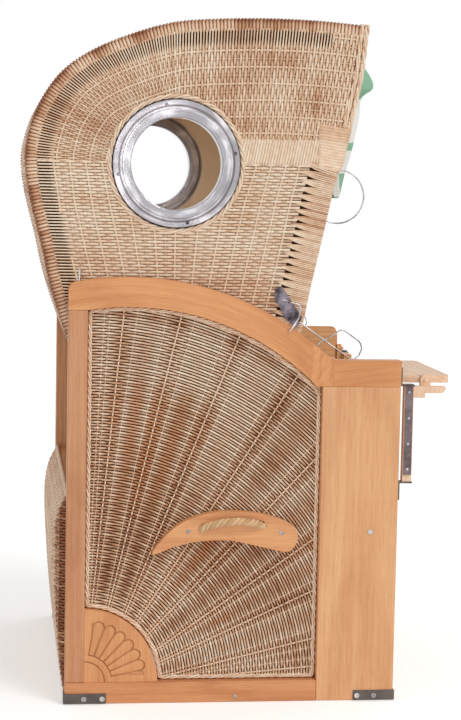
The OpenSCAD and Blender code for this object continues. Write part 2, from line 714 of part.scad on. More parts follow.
module porthole_inner_rings() {
    color(steel) for (s = [-1, 1]) on_port(s) rotate_extrude($fn = 128) {
        ring_section(port_r + 4 + fit_gap, port_flange_r - 8, cabin_x - 4, cabin_x);
        ring_section(port_r + 4 + fit_gap, port_r + 14, cabin_x - 8, cabin_x);
    }
}
module hood_fittings() {
    screw_angle = 79;
    color(steel) for (s = [-1, 1]) side(s) {
        for (k = [0 : 3]) pin_x(hood_x + 3.5, hood_x + 5.5,
            [port_y, port_z] + 138 * [cos(screw_angle + 90 * k), sin(screw_angle + 90 * k)], 4.5);
        difference() {
            board(hood_x, hood_x + latch_t) polygon(latch_line);
            pin_x(hood_x - 1, hood_x + latch_t + 1, lever_pivot, lever_d / 2 + run_gap);
            pin_x(hood_x - 1, hood_x + latch_t + 1, bail_pivot, wire_d / 2 + run_gap);
        }
        pin_x(hood_x + latch_t, hood_x + latch_t + 2, latch_pin, 4);
        pin_x(bow_x - 2, cabin_x, bow_pivot, 4);
    }
    color(steel) side(-1) difference() {
        block([cabin_x - 8, cabin_x], ring_block_y, [ring_hinge_z - 10, ring_hinge_z + 10]);
        translate([ring_x, ring_block_y[0] - 1, ring_hinge_z]) rotate([-90, 0, 0])
            cylinder(h = ring_block_y[1] - ring_block_y[0] + 2, r = wire_d / 2 + run_gap, $fn = 24);
    }
}
module latch_lever(s) {
    color(steel) side(s) wire(concat([[hood_x + fit_gap, lever_pivot[0], lever_pivot[1]]],
        [[lever_x - 3, lever_pivot[0], lever_pivot[1]]], at_x(lever_line, lever_x)), lever_d);
}
module wire_bail(s) {
    color(steel) side(s) wire(concat([[hood_x + fit_gap, bail_pivot[0], bail_pivot[1]]],
        at_x(bail_line, bail_x)), wire_d);
}
module awning_bow() {
    arm_t = 3;
    arm_w = 16;
    color(steel) {
        for (s = [-1, 1]) side(s) difference() {
            union() {
                pin_x(bow_x, bow_x + arm_t, bow_pivot, arm_w / 2);
                pin_x(bow_x, bow_x + arm_t, [bow_bar_y, bow_bar_z], arm_w / 2);
                translate([bow_x, bow_pivot[0], bow_pivot[1]]) rotate([-bow_lean, 0, 0])
                    translate([0, -arm_w / 2, -bow_arm]) cube([arm_t, arm_w, bow_arm]);
            }
            pin_x(bow_x - 1, bow_x + arm_t + 1, bow_pivot, 4 + run_gap);
        }
        pin_x(-bow_x, bow_x, [bow_bar_y, bow_bar_z], bow_bar_r);
    }
}
module awning_cloth() color(linen) board(-awning_x, awning_x) polygon(strip(spline(awning_line, 4), 0, -awning_t));
module towel_ring() {
    color(steel) side(-1) {
        translate([ring_x, ring_centre[0], ring_centre[1]]) rotate([0, 90, 0])
            rotate_extrude($fn = 96) translate([ring_r, 0]) circle(d = wire_d, $fn = 16);
        translate([ring_x, ring_centre[0], ring_hinge_z]) rotate([-90, 0, 0])
            cylinder(h = ring_block_y[1] - ring_centre[0], d = wire_d, $fn = 24);
        translate([ring_x, ring_centre[0], ring_centre[1] + ring_r])
            cylinder(h = ring_hinge_z - ring_centre[1] - ring_r, d = wire_d, $fn = 16);
    }
}

// Side tables
// Turns a table from its place across the front to its place inside the frame
module stowed_swing() translate([swing_x, swing_y, 0]) rotate([0, 0, 90]) translate([-swing_x, -swing_y, 0]) children();
module stowed_tilt() translate([0, leaf_y, leaf_z]) rotate([90, 0, 0]) translate([0, -leaf_y, -leaf_z]) children();
module table_post() {
    h = table_post_w / 2;
    round_r = 12;
    cheek_x = swing_x + h;
    cheek_r = 12;
    difference() {
        union() {
            block([swing_x - h, swing_x + h], [swing_y - h, swing_y + h], [table_post_z, arm_plate_z + arm_plate_t]);
            board(swing_x - h, swing_x + h) intersection() {
                box2(swing_y - arm_plate_end, swing_y, arm_plate_z, arm_plate_z + arm_plate_t);
                union() {
                    box2(swing_y - arm_plate_end + round_r, swing_y, arm_plate_z, arm_plate_z + arm_plate_t);
                    translate([swing_y - arm_plate_end + round_r, arm_plate_z + round_r]) circle(round_r);
                }
            }
            block([swing_x - h, swing_x + h], [swing_y - 38, swing_y - h], [arm_plate_z - 11, arm_plate_z]);
            block([cheek_x, leaf_start_x - 3], [leaf_y - cheek_r, leaf_y + cheek_r], [arm_plate_z, leaf_z]);
            pin_x(cheek_x, leaf_start_x - 3, [leaf_y, leaf_z], cheek_r);
        }
        pin_x(cheek_x - 8, leaf_start_x, [leaf_y, leaf_z], leaf_pin_r + run_gap);
        for (z = [table_post_z - 1, arm_plate_z + arm_plate_t - swing_pin_l - 1])
            translate([swing_x, swing_y, z]) cylinder(h = swing_pin_l + 2, r = swing_pin_r + run_gap, $fn = 32);
    }
    strip_x = swing_x - h - table_strip_t;
    block([strip_x, swing_x - h], [swing_y - h + 1, swing_y + h - 1], table_strip_z);
    for (z = table_screws_z) pin_x(strip_x - 2, strip_x, [swing_y, z], 3.5);
}
module table_leaf() {
    corner_r = 12;
    in_l = leaf_l - corner_r;
    in_w = leaf_w - corner_r;
    translate([leaf_start_x, leaf_y - leaf_w / 2, leaf_z - leaf_t / 2]) linear_extrude(leaf_t) polygon(concat(
        arc([in_l, corner_r], corner_r, -90, 0, 8), arc([in_l, in_w], corner_r, 0, 90, 8),
        arc([corner_r, in_w], corner_r, 90, 180, 8), arc([corner_r, corner_r], corner_r, 180, 270, 8)));
    pin_x(swing_x + table_post_w / 2 - 6, leaf_start_x + 1, [leaf_y, leaf_z], leaf_pin_r);
}
module side_table_right() color(wood) table_post();
module table_leaf_right() color(wood) table_leaf();
module side_table_left() color(wood) mirror([1, 0, 0]) stowed_swing() table_post();
module table_leaf_left() color(wood) mirror([1, 0, 0]) stowed_swing() stowed_tilt() table_leaf();
module table_brackets() {
    ear = 26;
    ear_t = 4;
    color(dark_steel) for (s = [-1, 1]) side(s) {
        for (z = [table_post_z - ear_t - fit_gap, arm_plate_z + arm_plate_t + fit_gap])
            block([-swing_x - ear / 2, -swing_x + ear / 2], [swing_y - ear / 2, frame_front_y], [z, z + ear_t]);
        block([-swing_x - ear / 2, -swing_x + ear / 2], [frame_front_y - table_plate_t, frame_front_y],
            [table_post_z - 44, table_post_z - fit_gap]);
        block([-swing_x - ear / 2, -swing_x + ear / 2], [frame_front_y - table_plate_t, frame_front_y],
            [arm_plate_z + arm_plate_t + fit_gap, arm_plate_z + arm_plate_t + 44]);
        translate([-swing_x, swing_y, table_post_z - ear_t]) cylinder(h = swing_pin_l + ear_t - 2, r = swing_pin_r, $fn = 32);
        translate([-swing_x, swing_y, arm_plate_z + arm_plate_t - swing_pin_l + 2])
            cylinder(h = swing_pin_l + ear_t - 2, r = swing_pin_r, $fn = 32);
    }
}

rear_post(-1);  // rear_post_right
rear_post(1);  // rear_post_left
top_rail(-1);  // top_rail_right
top_rail(1);  // top_rail_left
front_board(-1);  // front_board_right
front_board(1);  // front_board_left
bottom_rails();
corner_shells();
side_panel(-1);  // side_panel_right
side_panel(1);  // side_panel_left
carry_handle(-1);  // carry_handle_right
carry_handle(1);  // carry_handle_left
rope_grip(-1);  // rope_grip_right
rope_grip(1);  // rope_grip_left
corner_plates();
frame_bolts();
seat_rail(-1);  // seat_rail_right
seat_rail(1);  // seat_rail_left
cross_rails();
centre_divider();
seat_slats();
rear_panel();
drawer_runners();
pivot_pins();
rear_stop_pins();
seat_cushion();
table_brackets();
footrest(-1);  // footrest_right
footrest(1);  // footrest_left
footrest_panel(-1);  // footrest_panel_right
footrest_panel(1);  // footrest_panel_left
footrest_pull(-1);  // footrest_pull_right
footrest_pull(1);  // footrest_pull_left
hood_side(-1);  // hood_side_right
hood_side(1);  // hood_side_left
hood_shell();
hood_rim();
hood_frame(-1);  // hood_frame_right
hood_frame(1);  // hood_frame_left
hood_cross_bars();
backrest_board();
side_lining(-1);  // side_lining_right
side_lining(1);  // side_lining_left
back_lining();
back_cushion();
porthole(-1);  // porthole_right
porthole(1);  // porthole_left
porthole_inner_rings();
hood_fittings();
latch_lever(-1);  // latch_lever_right
latch_lever(1);  // latch_lever_left
wire_bail(-1);  // wire_bail_right
wire_bail(1);  // wire_bail_left
awning_bow();
awning_cloth();
towel_ring();
side_table_right();
side_table_left();
table_leaf_right();
table_leaf_left();
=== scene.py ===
"""Looks of the hooded beach chair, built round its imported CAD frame. Metres, +Z up, the sitter faces -Y.

Right is the sitter's right, at -X. Where a function takes s, it is -1 for the right side and 1 for the left.
"""
import math

import bmesh
import bpy
import numpy as np
from mathutils import Matrix, Vector


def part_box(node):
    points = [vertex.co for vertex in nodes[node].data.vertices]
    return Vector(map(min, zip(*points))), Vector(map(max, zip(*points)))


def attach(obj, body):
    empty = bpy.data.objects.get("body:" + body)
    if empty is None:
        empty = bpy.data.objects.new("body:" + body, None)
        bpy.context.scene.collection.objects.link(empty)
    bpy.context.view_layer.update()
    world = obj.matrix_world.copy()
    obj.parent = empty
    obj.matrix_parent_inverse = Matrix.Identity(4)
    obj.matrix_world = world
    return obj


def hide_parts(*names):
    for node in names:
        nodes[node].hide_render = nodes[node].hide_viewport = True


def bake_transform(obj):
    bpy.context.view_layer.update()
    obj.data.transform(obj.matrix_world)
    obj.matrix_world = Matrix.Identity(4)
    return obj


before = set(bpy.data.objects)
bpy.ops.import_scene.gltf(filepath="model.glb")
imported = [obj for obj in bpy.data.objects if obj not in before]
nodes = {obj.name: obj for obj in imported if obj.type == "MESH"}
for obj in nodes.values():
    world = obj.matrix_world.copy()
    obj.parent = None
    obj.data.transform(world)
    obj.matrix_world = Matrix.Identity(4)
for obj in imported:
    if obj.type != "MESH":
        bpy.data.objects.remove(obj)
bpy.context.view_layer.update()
scene = bpy.context.scene
SIDE = {-1: "right", 1: "left"}


def link(name, data):
    """A new object of the scene with that data."""
    obj = bpy.data.objects.new(name, data)
    scene.collection.objects.link(obj)
    return obj


# ---- camera
CAM_AT = Vector((-4.77465, 0.55645, 1.22799))
YAW, PITCH, ROLL = -0.1233, -0.0953, 0.0196
LONG_SIDE_PX, FOCAL_PX, SENSOR = 720, 1887.27, 36.0
look = Vector((math.cos(YAW) * math.cos(PITCH), math.sin(YAW) * math.cos(PITCH), math.sin(PITCH)))
right = look.cross(Vector((0, 0, 1))).normalized()
up = right.cross(look)
right, up = math.cos(ROLL) * right + math.sin(ROLL) * up, -math.sin(ROLL) * right + math.cos(ROLL) * up
cam_data = bpy.data.cameras.new("camera")
cam_data.sensor_width = SENSOR
cam_data.lens = FOCAL_PX * SENSOR / LONG_SIDE_PX
scene.camera = link("camera", cam_data)
scene.camera.matrix_world = Matrix.Translation(CAM_AT) @ Matrix((right, up, -look)).transposed().to_4x4()


# ---- colours and noise
def lin(r, g, b):
    """A colour as it is written on the screen, 0 to 255, to the linear one that nodes take."""
    def one(c):
        c /= 255.0
        return c / 12.92 if c <= 0.04045 else ((c + 0.055) / 1.055) ** 2.4
    return (one(r), one(g), one(b))


CANE_STOPS = np.array([lin(254, 238, 216), lin(242, 214, 186), lin(214, 170, 136), lin(152, 98, 66)])
ORANGE = np.array(lin(212, 144, 96))
rng = np.random.default_rng(7)


def patches(u, v, seed, size_u=1.0, size_v=1.0):
    """Smooth random values from 0 to 1 over u and v, with a lattice of the given sizes."""
    grid = np.random.default_rng(seed).random((64, 64))
    u, v = np.asarray(u, float) / size_u, np.asarray(v, float) / size_v
    iu, iv = np.floor(u).astype(int), np.floor(v).astype(int)
    fu, fv = u - iu, v - iv
    fu, fv = fu * fu * (3 - 2 * fu), fv * fv * (3 - 2 * fv)
    a, b = grid[iu % 64, iv % 64], grid[(iu + 1) % 64, iv % 64]
    c, d = grid[iu % 64, (iv + 1) % 64], grid[(iu + 1) % 64, (iv + 1) % 64]
    return (a * (1 - fu) + b * fu) * (1 - fv) + (c * (1 - fu) + d * fu) * fv


def shade_of(m):
    """Cane colour for m from 0, cream, over beige and tan, to 1, brown."""
    m = np.clip(np.asarray(m, float), 0, 1)[..., None]
    k = np.clip(np.floor(m * 3), 0, 2).astype(int)
    f = m * 3 - k
    return CANE_STOPS[k[..., 0]] * (1 - f) + CANE_STOPS[k[..., 0] + 1] * f


def cane_colour(m, length):
    """Colour along one strand: its own shade, with a slow drift."""
    drift = np.interp(np.linspace(0, 1, length), np.linspace(0, 1, 5), rng.normal(0, 0.06, 5))
    return shade_of(np.asarray(m) + drift)


# ---- points and lines
def points(*columns):
    """Points from their columns, each a number or an array."""
    return np.stack(np.broadcast_arrays(*[np.asarray(c, float) for c in columns]), -1)


def yz(p, x):
    """Side view points p at x, a number or one for each."""
    return points(x, p[..., 0], p[..., 1])


def circle(at, r, angles):
    return at + r * points(np.cos(angles), np.sin(angles))


def dist(p, at):
    return np.hypot(p[..., 0] - at[0], p[..., 1] - at[1])


def unit(v):
    return v / np.linalg.norm(v, axis=-1)[..., None]


def travelled(p):
    """Distance along the polyline p at each of its points."""
    return np.concatenate([[0], np.cumsum(np.linalg.norm(np.diff(p, axis=0), axis=1))])


def dense(p, step):
    """The polyline p read again at even steps."""
    s = travelled(p)
    q = np.linspace(0, s[-1], max(int(s[-1] / step), 3) + 1)
    return np.stack([np.interp(q, s, p[:, k]) for k in range(p.shape[1])], -1)


def frames(p, normals):
    """Across and outward directions at each point of the path p, whose normals are roughly given."""
    tiny = 1e-12
    t = np.gradient(p, axis=0)
    t /= np.linalg.norm(t, axis=1)[:, None] + tiny
    across = np.cross(t, np.broadcast_to(np.asarray(normals, float), p.shape))
    across /= np.linalg.norm(across, axis=1)[:, None] + tiny
    return across, np.cross(across, t)


def inside_runs(mask):
    """Start and end of each unbroken run of True."""
    d = np.diff(np.concatenate([[False], mask, [False]]).astype(int))
    return list(zip(np.where(d == 1)[0], np.where(d == -1)[0]))


class Line:
    """A smooth line in the side view, through (y, z) points in millimetres, that is read by distance along it."""

    def __init__(self, through, steps=12):
        p = np.array(through) / 1000
        out = []
        for i in range(len(p) - 1):
            a, b, c, d = p[max(i - 1, 0)], p[i], p[i + 1], p[min(i + 2, len(p) - 1)]
            for k in range(steps):
                t = k / steps
                out.append(0.5 * (2 * b + (c - a) * t + (2 * a - 5 * b + 4 * c - d) * t * t
                                  + (3 * b - a - 3 * c + d) * t ** 3))
        self.p = np.array(out + [p[-1]])
        self.s = travelled(self.p)
        self.length = self.s[-1]

    def at(self, s):
        return points(np.interp(s, self.s, self.p[:, 0]), np.interp(s, self.s, self.p[:, 1]))

    def tangent(self, s):
        after, before = (self.at(np.clip(np.asarray(s) + d, 0, self.length)) for d in (0.004, -0.004))
        return unit(after - before)

    def right(self, s):
        t = self.tangent(s)
        return points(t[..., 1], -t[..., 0])

    def off(self, s, deep):
        """The point at s, moved to the right by deep."""
        return self.at(s) + self.right(s) * np.asarray(deep)[..., None]


# ---- places, repeated from the part's source
PANEL_X = 0.426
BOARD_Y, POST_Y, FLOOR_RAIL = -0.199, 0.351, 0.051
RAIL_AT, RAIL_IN = np.array([0.2515, 0.316]), 0.616
SHELL_AT, SHELL_R = np.array([0.351, 0.051]), 0.172
PORT_AT = np.array([0.1485, 1.262])
PIVOT, SKIRT_R = np.array([0.21, 0.396]), 0.58
hood_line = Line([[-300, 1592], [-178, 1601], [-51, 1603], [86, 1597], [170, 1586], [266, 1556], [352, 1517],
                  [420, 1466], [470, 1392], [494, 1320], [500, 1262], [489, 1180], [461, 1069], [437, 966], [394, 839],
                  [330, 694], [262, 478]])
mouth_line = Line([[-300, 1592], [-290, 1488], [-279, 1426], [-262, 1349], [-247, 1280], [-229, 1225], [-205, 1110],
                   [-176, 977], [-161, 895], [-149, 838]])
rear_line = hood_line.p[np.argmax(hood_line.p[:, 0]):]
SIDE_FOOT = 0.806           # height of the lower end of the hood's sides
HOOD_LOW = hood_line.s[np.where(hood_line.p[:, 1] < SIDE_FOOT)[0][0]]


def mouth_y(z):
    return np.interp(z, mouth_line.p[::-1, 1], mouth_line.p[::-1, 0])


def rear_y(z):
    return np.interp(z, rear_line[::-1, 1], rear_line[::-1, 0])


# ---- pieces
def register(obj, body, materials, replaced=()):
    """Gives a piece its materials, hangs it on the empty of the body it rides on, and hides the CAD nodes it stands
    for.
    """
    if obj.data.materials:
        obj.data.materials.clear()
    for m in materials:
        obj.data.materials.append(m)
    if body:
        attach(obj, body)
    if replaced:
        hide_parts(*replaced)
    return obj


def copy_faces(node, name, keep, shift_x):
    """A new sheet made of the faces of a CAD node whose normals pass keep."""
    bm = bmesh.new()
    bm.from_mesh(node.data)
    bmesh.ops.delete(bm, geom=[f for f in bm.faces if not keep(f.normal)], context="FACES")
    bmesh.ops.translate(bm, verts=bm.verts, vec=(shift_x, 0, 0))
    bmesh.ops.remove_doubles(bm, verts=bm.verts, dist=1e-5)
    mesh = bpy.data.meshes.new(name)
    bm.to_mesh(mesh)
    bm.free()
    return link(name, mesh)


class Strands:
    """Collects round strands swept along paths, and sheets, and makes one mesh of them.

    Strands take the first material, and sheets the second one unless slot says otherwise."""

    def __init__(self):
        self.parts, self.n = [], 0

    def _add(self, verts, colour, faces, sizes, slot):
        colours = np.broadcast_to(np.asarray(colour, float), verts.shape)
        self.parts.append((verts, colours, faces + self.n, sizes, np.full(len(sizes), slot)))
        self.n += len(verts)

    def tube(self, path, normals, r, colour, sides=6, flat=1.0):
        """A strand of radius r, flattened along its normals by flat."""
        p = np.asarray(path, float)
        n = len(p)
        if n < 3:
            return
        across, out = frames(p, normals)
        r = np.broadcast_to(np.asarray(r, float), (n,))[:, None, None]
        a = (np.arange(sides) * 2 * math.pi / sides + math.pi / sides)[None, :, None]
        verts = p[:, None] + r * (np.cos(a) * across[:, None] + flat * np.sin(a) * out[:, None])
        colour = np.repeat(np.broadcast_to(np.asarray(colour, float), (n, 3)), sides, 0)
        i, k = np.meshgrid(np.arange(n - 1) * sides, np.arange(sides), indexing="ij")
        k2 = (k + 1) % sides
        quads = np.stack([i + k, i + sides + k, i + sides + k2, i + k2], -1).reshape(-1)
        caps = [np.arange(sides), (n - 1) * sides + np.arange(sides)[::-1]]
        sizes = np.concatenate([np.full((n - 1) * sides, 4), [sides, sides]])
        self._add(verts.reshape(-1, 3), colour, np.concatenate([quads, *caps]), sizes, 0)

    def runs(self, mask, path, normals, r, colour, sides=6, flat=1.0, step=1):
        """A strand over each part of a path that mask keeps."""
        r = np.broadcast_to(np.asarray(r, float), (len(path),))
        for a, b in inside_runs(mask):
            self.tube(path[a:b:step], normals, r[a:b:step], colour[a:b:step], sides, flat)

    def on_side(self, s, mask, p, x, r, colour, sides=6, flat=1.0):
        """The same through side view points p, at x out from the middle of the chair."""
        self.runs(mask, yz(p, s * x), (s, 0, 0), r, colour, sides, flat)

    def sheet(self, grid, colour=(1, 1, 1), slot=1):
        """A sheet through a grid of points (rows, columns, 3)."""
        g = np.asarray(grid, float)
        h, w = g.shape[:2]
        i, k = np.meshgrid(np.arange(h - 1), np.arange(w - 1), indexing="ij")
        a = i * w + k
        quads = np.stack([a, a + 1, a + w + 1, a + w], -1).reshape(-1)
        self._add(g.reshape(-1, 3), colour, quads, np.full((h - 1) * (w - 1), 4), slot)

    def polygon(self, corners):
        self._add(np.asarray(corners, float), (1, 1, 1), np.arange(len(corners)), np.array([len(corners)]), 1)

    def weave(self, name, body, *replaced):
        """A piece of cane, with dark sheets behind it as painted shade in its gaps."""
        self.build(name, body, WEAVE, replaced, "wicker")

    def build(self, name, body, materials, replaced=(), slot_name=None, smooth=True):
        verts, colours, loops, totals, slots = (np.concatenate(part) for part in zip(*self.parts))
        mesh = bpy.data.meshes.new(name)
        mesh.vertices.add(len(verts))
        mesh.vertices.foreach_set("co", verts.astype(np.float32).ravel())
        mesh.loops.add(len(loops))
        mesh.loops.foreach_set("vertex_index", loops.astype(np.int32))
        mesh.polygons.add(len(totals))
        starts = np.concatenate([[0], np.cumsum(totals)[:-1]])
        mesh.polygons.foreach_set("loop_start", starts.astype(np.int32))
        mesh.polygons.foreach_set("material_index", slots.astype(np.int32))
        mesh.update(calc_edges=True)
        mesh.polygons.foreach_set("use_smooth", np.full(len(totals), smooth))
        rgba = np.append(colours, np.ones((len(verts), 1)), 1).astype(np.float32)
        mesh.color_attributes.new("cane", "FLOAT_COLOR", "POINT").data.foreach_set("color", rgba.ravel())
        return register(link(name, mesh), body, materials, replaced)


def twist(st, path, normals, width, lay, shades, sides=6, turn=0.0):
    """Strands laid round each other along a path, one for each of shades, a cane shade or a colour."""
    path = dense(path, lay / 14)
    across, out = frames(path, normals)
    n = len(shades)
    r = width / 4 if n == 2 else width * 0.232      # as thick as two or three touching strands are in that width
    for k, shade in enumerate(shades):
        a = (2 * np.pi * (travelled(path) / lay + k / n) + turn)[:, None]
        colour = shade_of(shade) if np.isscalar(shade) else shade
        st.tube(path + (width / 2 - r) * (np.cos(a) * across + np.sin(a) * out), out, r, colour, sides)


# ---- materials
class Num:
    """An output of a node. Arithmetic on it adds Math nodes."""

    def __init__(self, owner, socket):
        self.owner, self.socket = owner, socket

    def __add__(self, other):
        return self.owner.math("ADD", self, other)

    def __sub__(self, other):
        return self.owner.math("SUBTRACT", self, other)

    def __mul__(self, other):
        return self.owner.math("MULTIPLY", self, other)


class Nodes:
    """A node tree, built with short calls. Inputs are outputs of other nodes, numbers or colours."""

    def __init__(self, tree):
        self.tree = tree

    def feed(self, socket, value):
        if isinstance(value, Num):
            self.tree.links.new(value.socket, socket)
        elif isinstance(value, (int, float)):
            socket.default_value = value
        else:
            socket.default_value = (*value, 1)

    def new(self, kind, inputs, out=0, **settings):
        n = self.tree.nodes.new("ShaderNode" + kind)
        for key, value in settings.items():
            setattr(n, key, value)
        for key, value in inputs.items():
            self.feed(n.inputs[key], value)
        return Num(self, n.outputs[out])

    def math(self, operation, *values):
        return self.new("Math", dict(enumerate(values)), operation=operation)

    def length(self, b, c):
        return self.math("SQRT", b * b + c * c)

    def noise(self, vector, scale, detail=2.0, rough=0.55):
        return self.new("TexNoise", {"Vector": vector, "Scale": scale, "Detail": detail, "Roughness": rough}, "Fac")

    def stretched(self, parts, scales, detail):
        """Noise over parts of a vector, each with its own scale."""
        vector = self.new("CombineXYZ", {k: part * scale for k, (part, scale) in enumerate(zip(parts, scales))})
        return self.noise(vector, 1.0, detail)

    def ramp(self, value, *stops):
        """A ramp between two stops, each a place with a number or a colour."""
        n = self.tree.nodes.new("ShaderNodeValToRGB")
        for element, (at, colour) in zip(n.color_ramp.elements, stops):
            element.position = at
            element.color = (colour,) * 3 + (1,) if isinstance(colour, (int, float)) else (*colour, 1)
        self.feed(n.inputs[0], value)
        return Num(self, n.outputs[0])

    def mix(self, factor, a, b, kind="MIX"):
        return self.new("Mix", {0: factor, 6: a, 7: b}, 2, data_type="RGBA", blend_type=kind)

    def stain(self, colour, base, by, value, *stops):
        """The colour, turned to base times by as value goes through the ramp's stops."""
        return self.mix(self.ramp(value, *stops), colour, self.mix(1.0, base, by, "MULTIPLY"))

    def seen(self):
        """1 on camera, glossy and transmission rays, which see white round the chair, and 0 on rays that light it."""
        rays = self.tree.nodes.new("ShaderNodeLightPath").outputs
        direct, glossy, through = (Num(self, rays[f"Is {kind} Ray"]) for kind in ("Camera", "Glossy", "Transmission"))
        return self.math("MAXIMUM", direct, self.math("MAXIMUM", glossy, through))


class Mat(Nodes):
    """A material, made in object coordinates."""

    INPUTS = {"rough": "Roughness", "metal": "Metallic", "spec": "Specular IOR Level", "sheen": "Sheen Weight",
              "sheen_rough": "Sheen Roughness"}

    def __init__(self, name, **values):
        self.m = bpy.data.materials.new(name)
        self.m.use_nodes = True
        super().__init__(self.m.node_tree)
        self.bsdf = self.tree.nodes["Principled BSDF"]
        for key, value in values.items():
            self.bsdf.inputs[self.INPUTS[key]].default_value = value
        self.coord = self.new("TexCoord", {}, "Object")
        split = self.tree.nodes.new("ShaderNodeSeparateXYZ")
        self.feed(split.inputs[0], self.coord)
        self.xyz = [Num(self, part) for part in split.outputs]

    def tint(self):
        return self.new("Attribute", {}, "Color", attribute_name="cane")

    def done(self, colour, rough, height, strength, depth):
        """Links colour, roughness unless it is None, and a bump of height, and gives the material."""
        self.feed(self.bsdf.inputs["Base Color"], colour)
        if rough:
            self.feed(self.bsdf.inputs["Roughness"], rough)
        bump = self.new("Bump", {"Strength": strength, "Distance": depth, "Height": height})
        self.feed(self.bsdf.inputs["Normal"], bump)
        return self.m


def cane_material():
    m = Mat("cane", spec=0.35)
    tint, fine, slow = m.tint(), m.noise(m.coord, 900, 3), m.noise(m.coord, 70, 2)
    colour = m.stain(tint, tint, lin(226, 196, 166), slow, (0.3, 0.0), (0.75, 0.5))
    colour = m.stain(colour, tint, lin(206, 170, 138), fine, (0.42, 0.0), (0.72, 0.35))
    return m.done(colour, m.ramp(fine, (0.3, 0.45), (0.8, 0.68)), fine, 0.35, 0.0006)


# The dark brown of the sheets behind the weaves: painted shade in the gaps between the strands.
def painted_gap_shade_material():
    m = Mat("dark_gaps_painted_shade", rough=0.85, spec=0.1)
    grain = m.noise(m.coord, 380, 3)
    return m.done(m.ramp(grain, (0.3, lin(46, 29, 18)), (0.7, lin(88, 58, 38))), None, grain, 0.6, 0.001)


LIGHT, DARK = lin(238, 178, 124), lin(204, 138, 90)
PALE, PALE_DARK = lin(253, 222, 192), lin(228, 182, 148)


def wood(name, along, heart, light=LIGHT, dark=DARK, strength=1.0, tinted=False):
    """Timber with year rings round its heart. The grain runs along an axis or, "polar", round the rail's curve."""
    m = Mat("wood_" + name, spec=0.4)
    x, y, z = m.xyz
    if along == "polar":
        b0, c0 = y - RAIL_AT[0], z - RAIL_AT[1]
        a, b, c = m.math("ARCTAN2", c0, b0) * 0.65, m.length(b0, c0), x
        # level along the flat arm in front of the curve
        front = y * -1.0
        level = m.ramp(front, (0.17, 0.0), (0.225, 1.0))
        a = a + level * (front - a)
        b = b + level * (z + y * 0.12 - 0.2 - b)
    else:
        a, b, c = {"x": (x, y, z), "y": (y, z, x), "z": (z, y, x)}[along]
    slow, bend, fibre, pore, streak = (
        m.stretched((a, b, c), (lengthwise, fine, fine), detail)
        for lengthwise, fine, detail in ((0.9, 6, 1), (5, 16, 2), (14, 480, 3), (45, 900, 2), (1.8, 85, 3)))
    radius = m.length(b - heart[0] + (slow - 0.5) * 0.06, c - heart[1]) + (bend - 0.5) * 0.012 + a * 0.018
    rings = m.math("POWER", (m.math("SINE", radius * 560) + 1.0) * 0.5, 2.2)
    colour = m.mix(rings * (0.42 * strength), light, dark)
    colour = m.stain(colour, colour, lin(230, 200, 176), streak, (0.35, 0.0), (0.75, 0.6 * strength))
    colour = m.stain(colour, colour, lin(206, 168, 140), fibre, (0.4, 0.0), (0.78, 0.42))
    pores = m.ramp(pore, (0.62, 0.0), (0.74, 0.38))
    colour = m.mix(pores, colour, m.mix(1.0, colour, lin(150, 108, 80), "MULTIPLY"))
    # the mesh's own colour, which on the carved shell holds painted shade in its hollows
    if tinted:
        colour = m.mix(1.0, colour, m.tint(), "MULTIPLY")
    rough = m.ramp(fibre, (0.3, 0.41), (0.8, 0.58))
    return m.done(colour, rough, rings * 0.25 + (fibre - pores * 0.8), 0.22, 0.0009)


def metal(name, colour, rough, dark, speckle=0.12, ring=False):
    """Bare metal with clouded tarnish. A ring is brushed round the porthole, with broad dark sweeps over it as painted
    reflection and its groove painted dark as painted shade.
    """
    m = Mat(name, metal=1.0)
    x, y, z = m.xyz
    tarnish_and_painted_light = m.mix(m.ramp(m.noise(m.coord, 30, 3), (0.35, 0.0), (0.62, 1.0)), colour, tuple(c * dark for c in colour))
    if ring:
        b, c = y - PORT_AT[0], z - PORT_AT[1]
        radius = m.length(b, c)
        brushed = m.stretched((radius, m.math("ARCTAN2", c, b), x), (1500, 2, 900), 2)
        # broad dark sweeps over the ring: painted reflection
        painted_reflection = m.stretched((b, c, radius), (9, 9, 30), 2)
        tarnish_and_painted_light = m.mix(m.ramp(painted_reflection, (0.44, 0.0), (0.58, 0.85)), tarnish_and_painted_light, tuple(v * 0.4 for v in colour))
        # the groove painted dark brown: painted shade
        groove = m.math("ABSOLUTE", radius - 0.1338)
        tarnish_and_painted_light = m.mix(m.ramp(groove, (0.0012, 0.9), (0.0026, 0.0)), tarnish_and_painted_light, lin(84, 70, 62))
    else:
        brushed = m.stretched((x, y, z), (90, 90, 420), 3)
    shine = m.ramp(brushed, (0.3, max(rough - speckle, 0.05)), (0.75, rough + speckle))
    return m.done(tarnish_and_painted_light, shine, brushed, 0.12, 0.0004)


def painted_steel():
    m = Mat("painted_steel", spec=0.4)
    cloud, fine = m.noise(m.coord, 24, 3), m.noise(m.coord, 700, 3)
    colour = m.mix(m.ramp(cloud, (0.35, 0.0), (0.7, 1.0)), lin(84, 76, 72), lin(112, 102, 96))
    return m.done(colour, m.ramp(fine, (0.3, 0.38), (0.8, 0.62)), fine, 0.25, 0.0004)


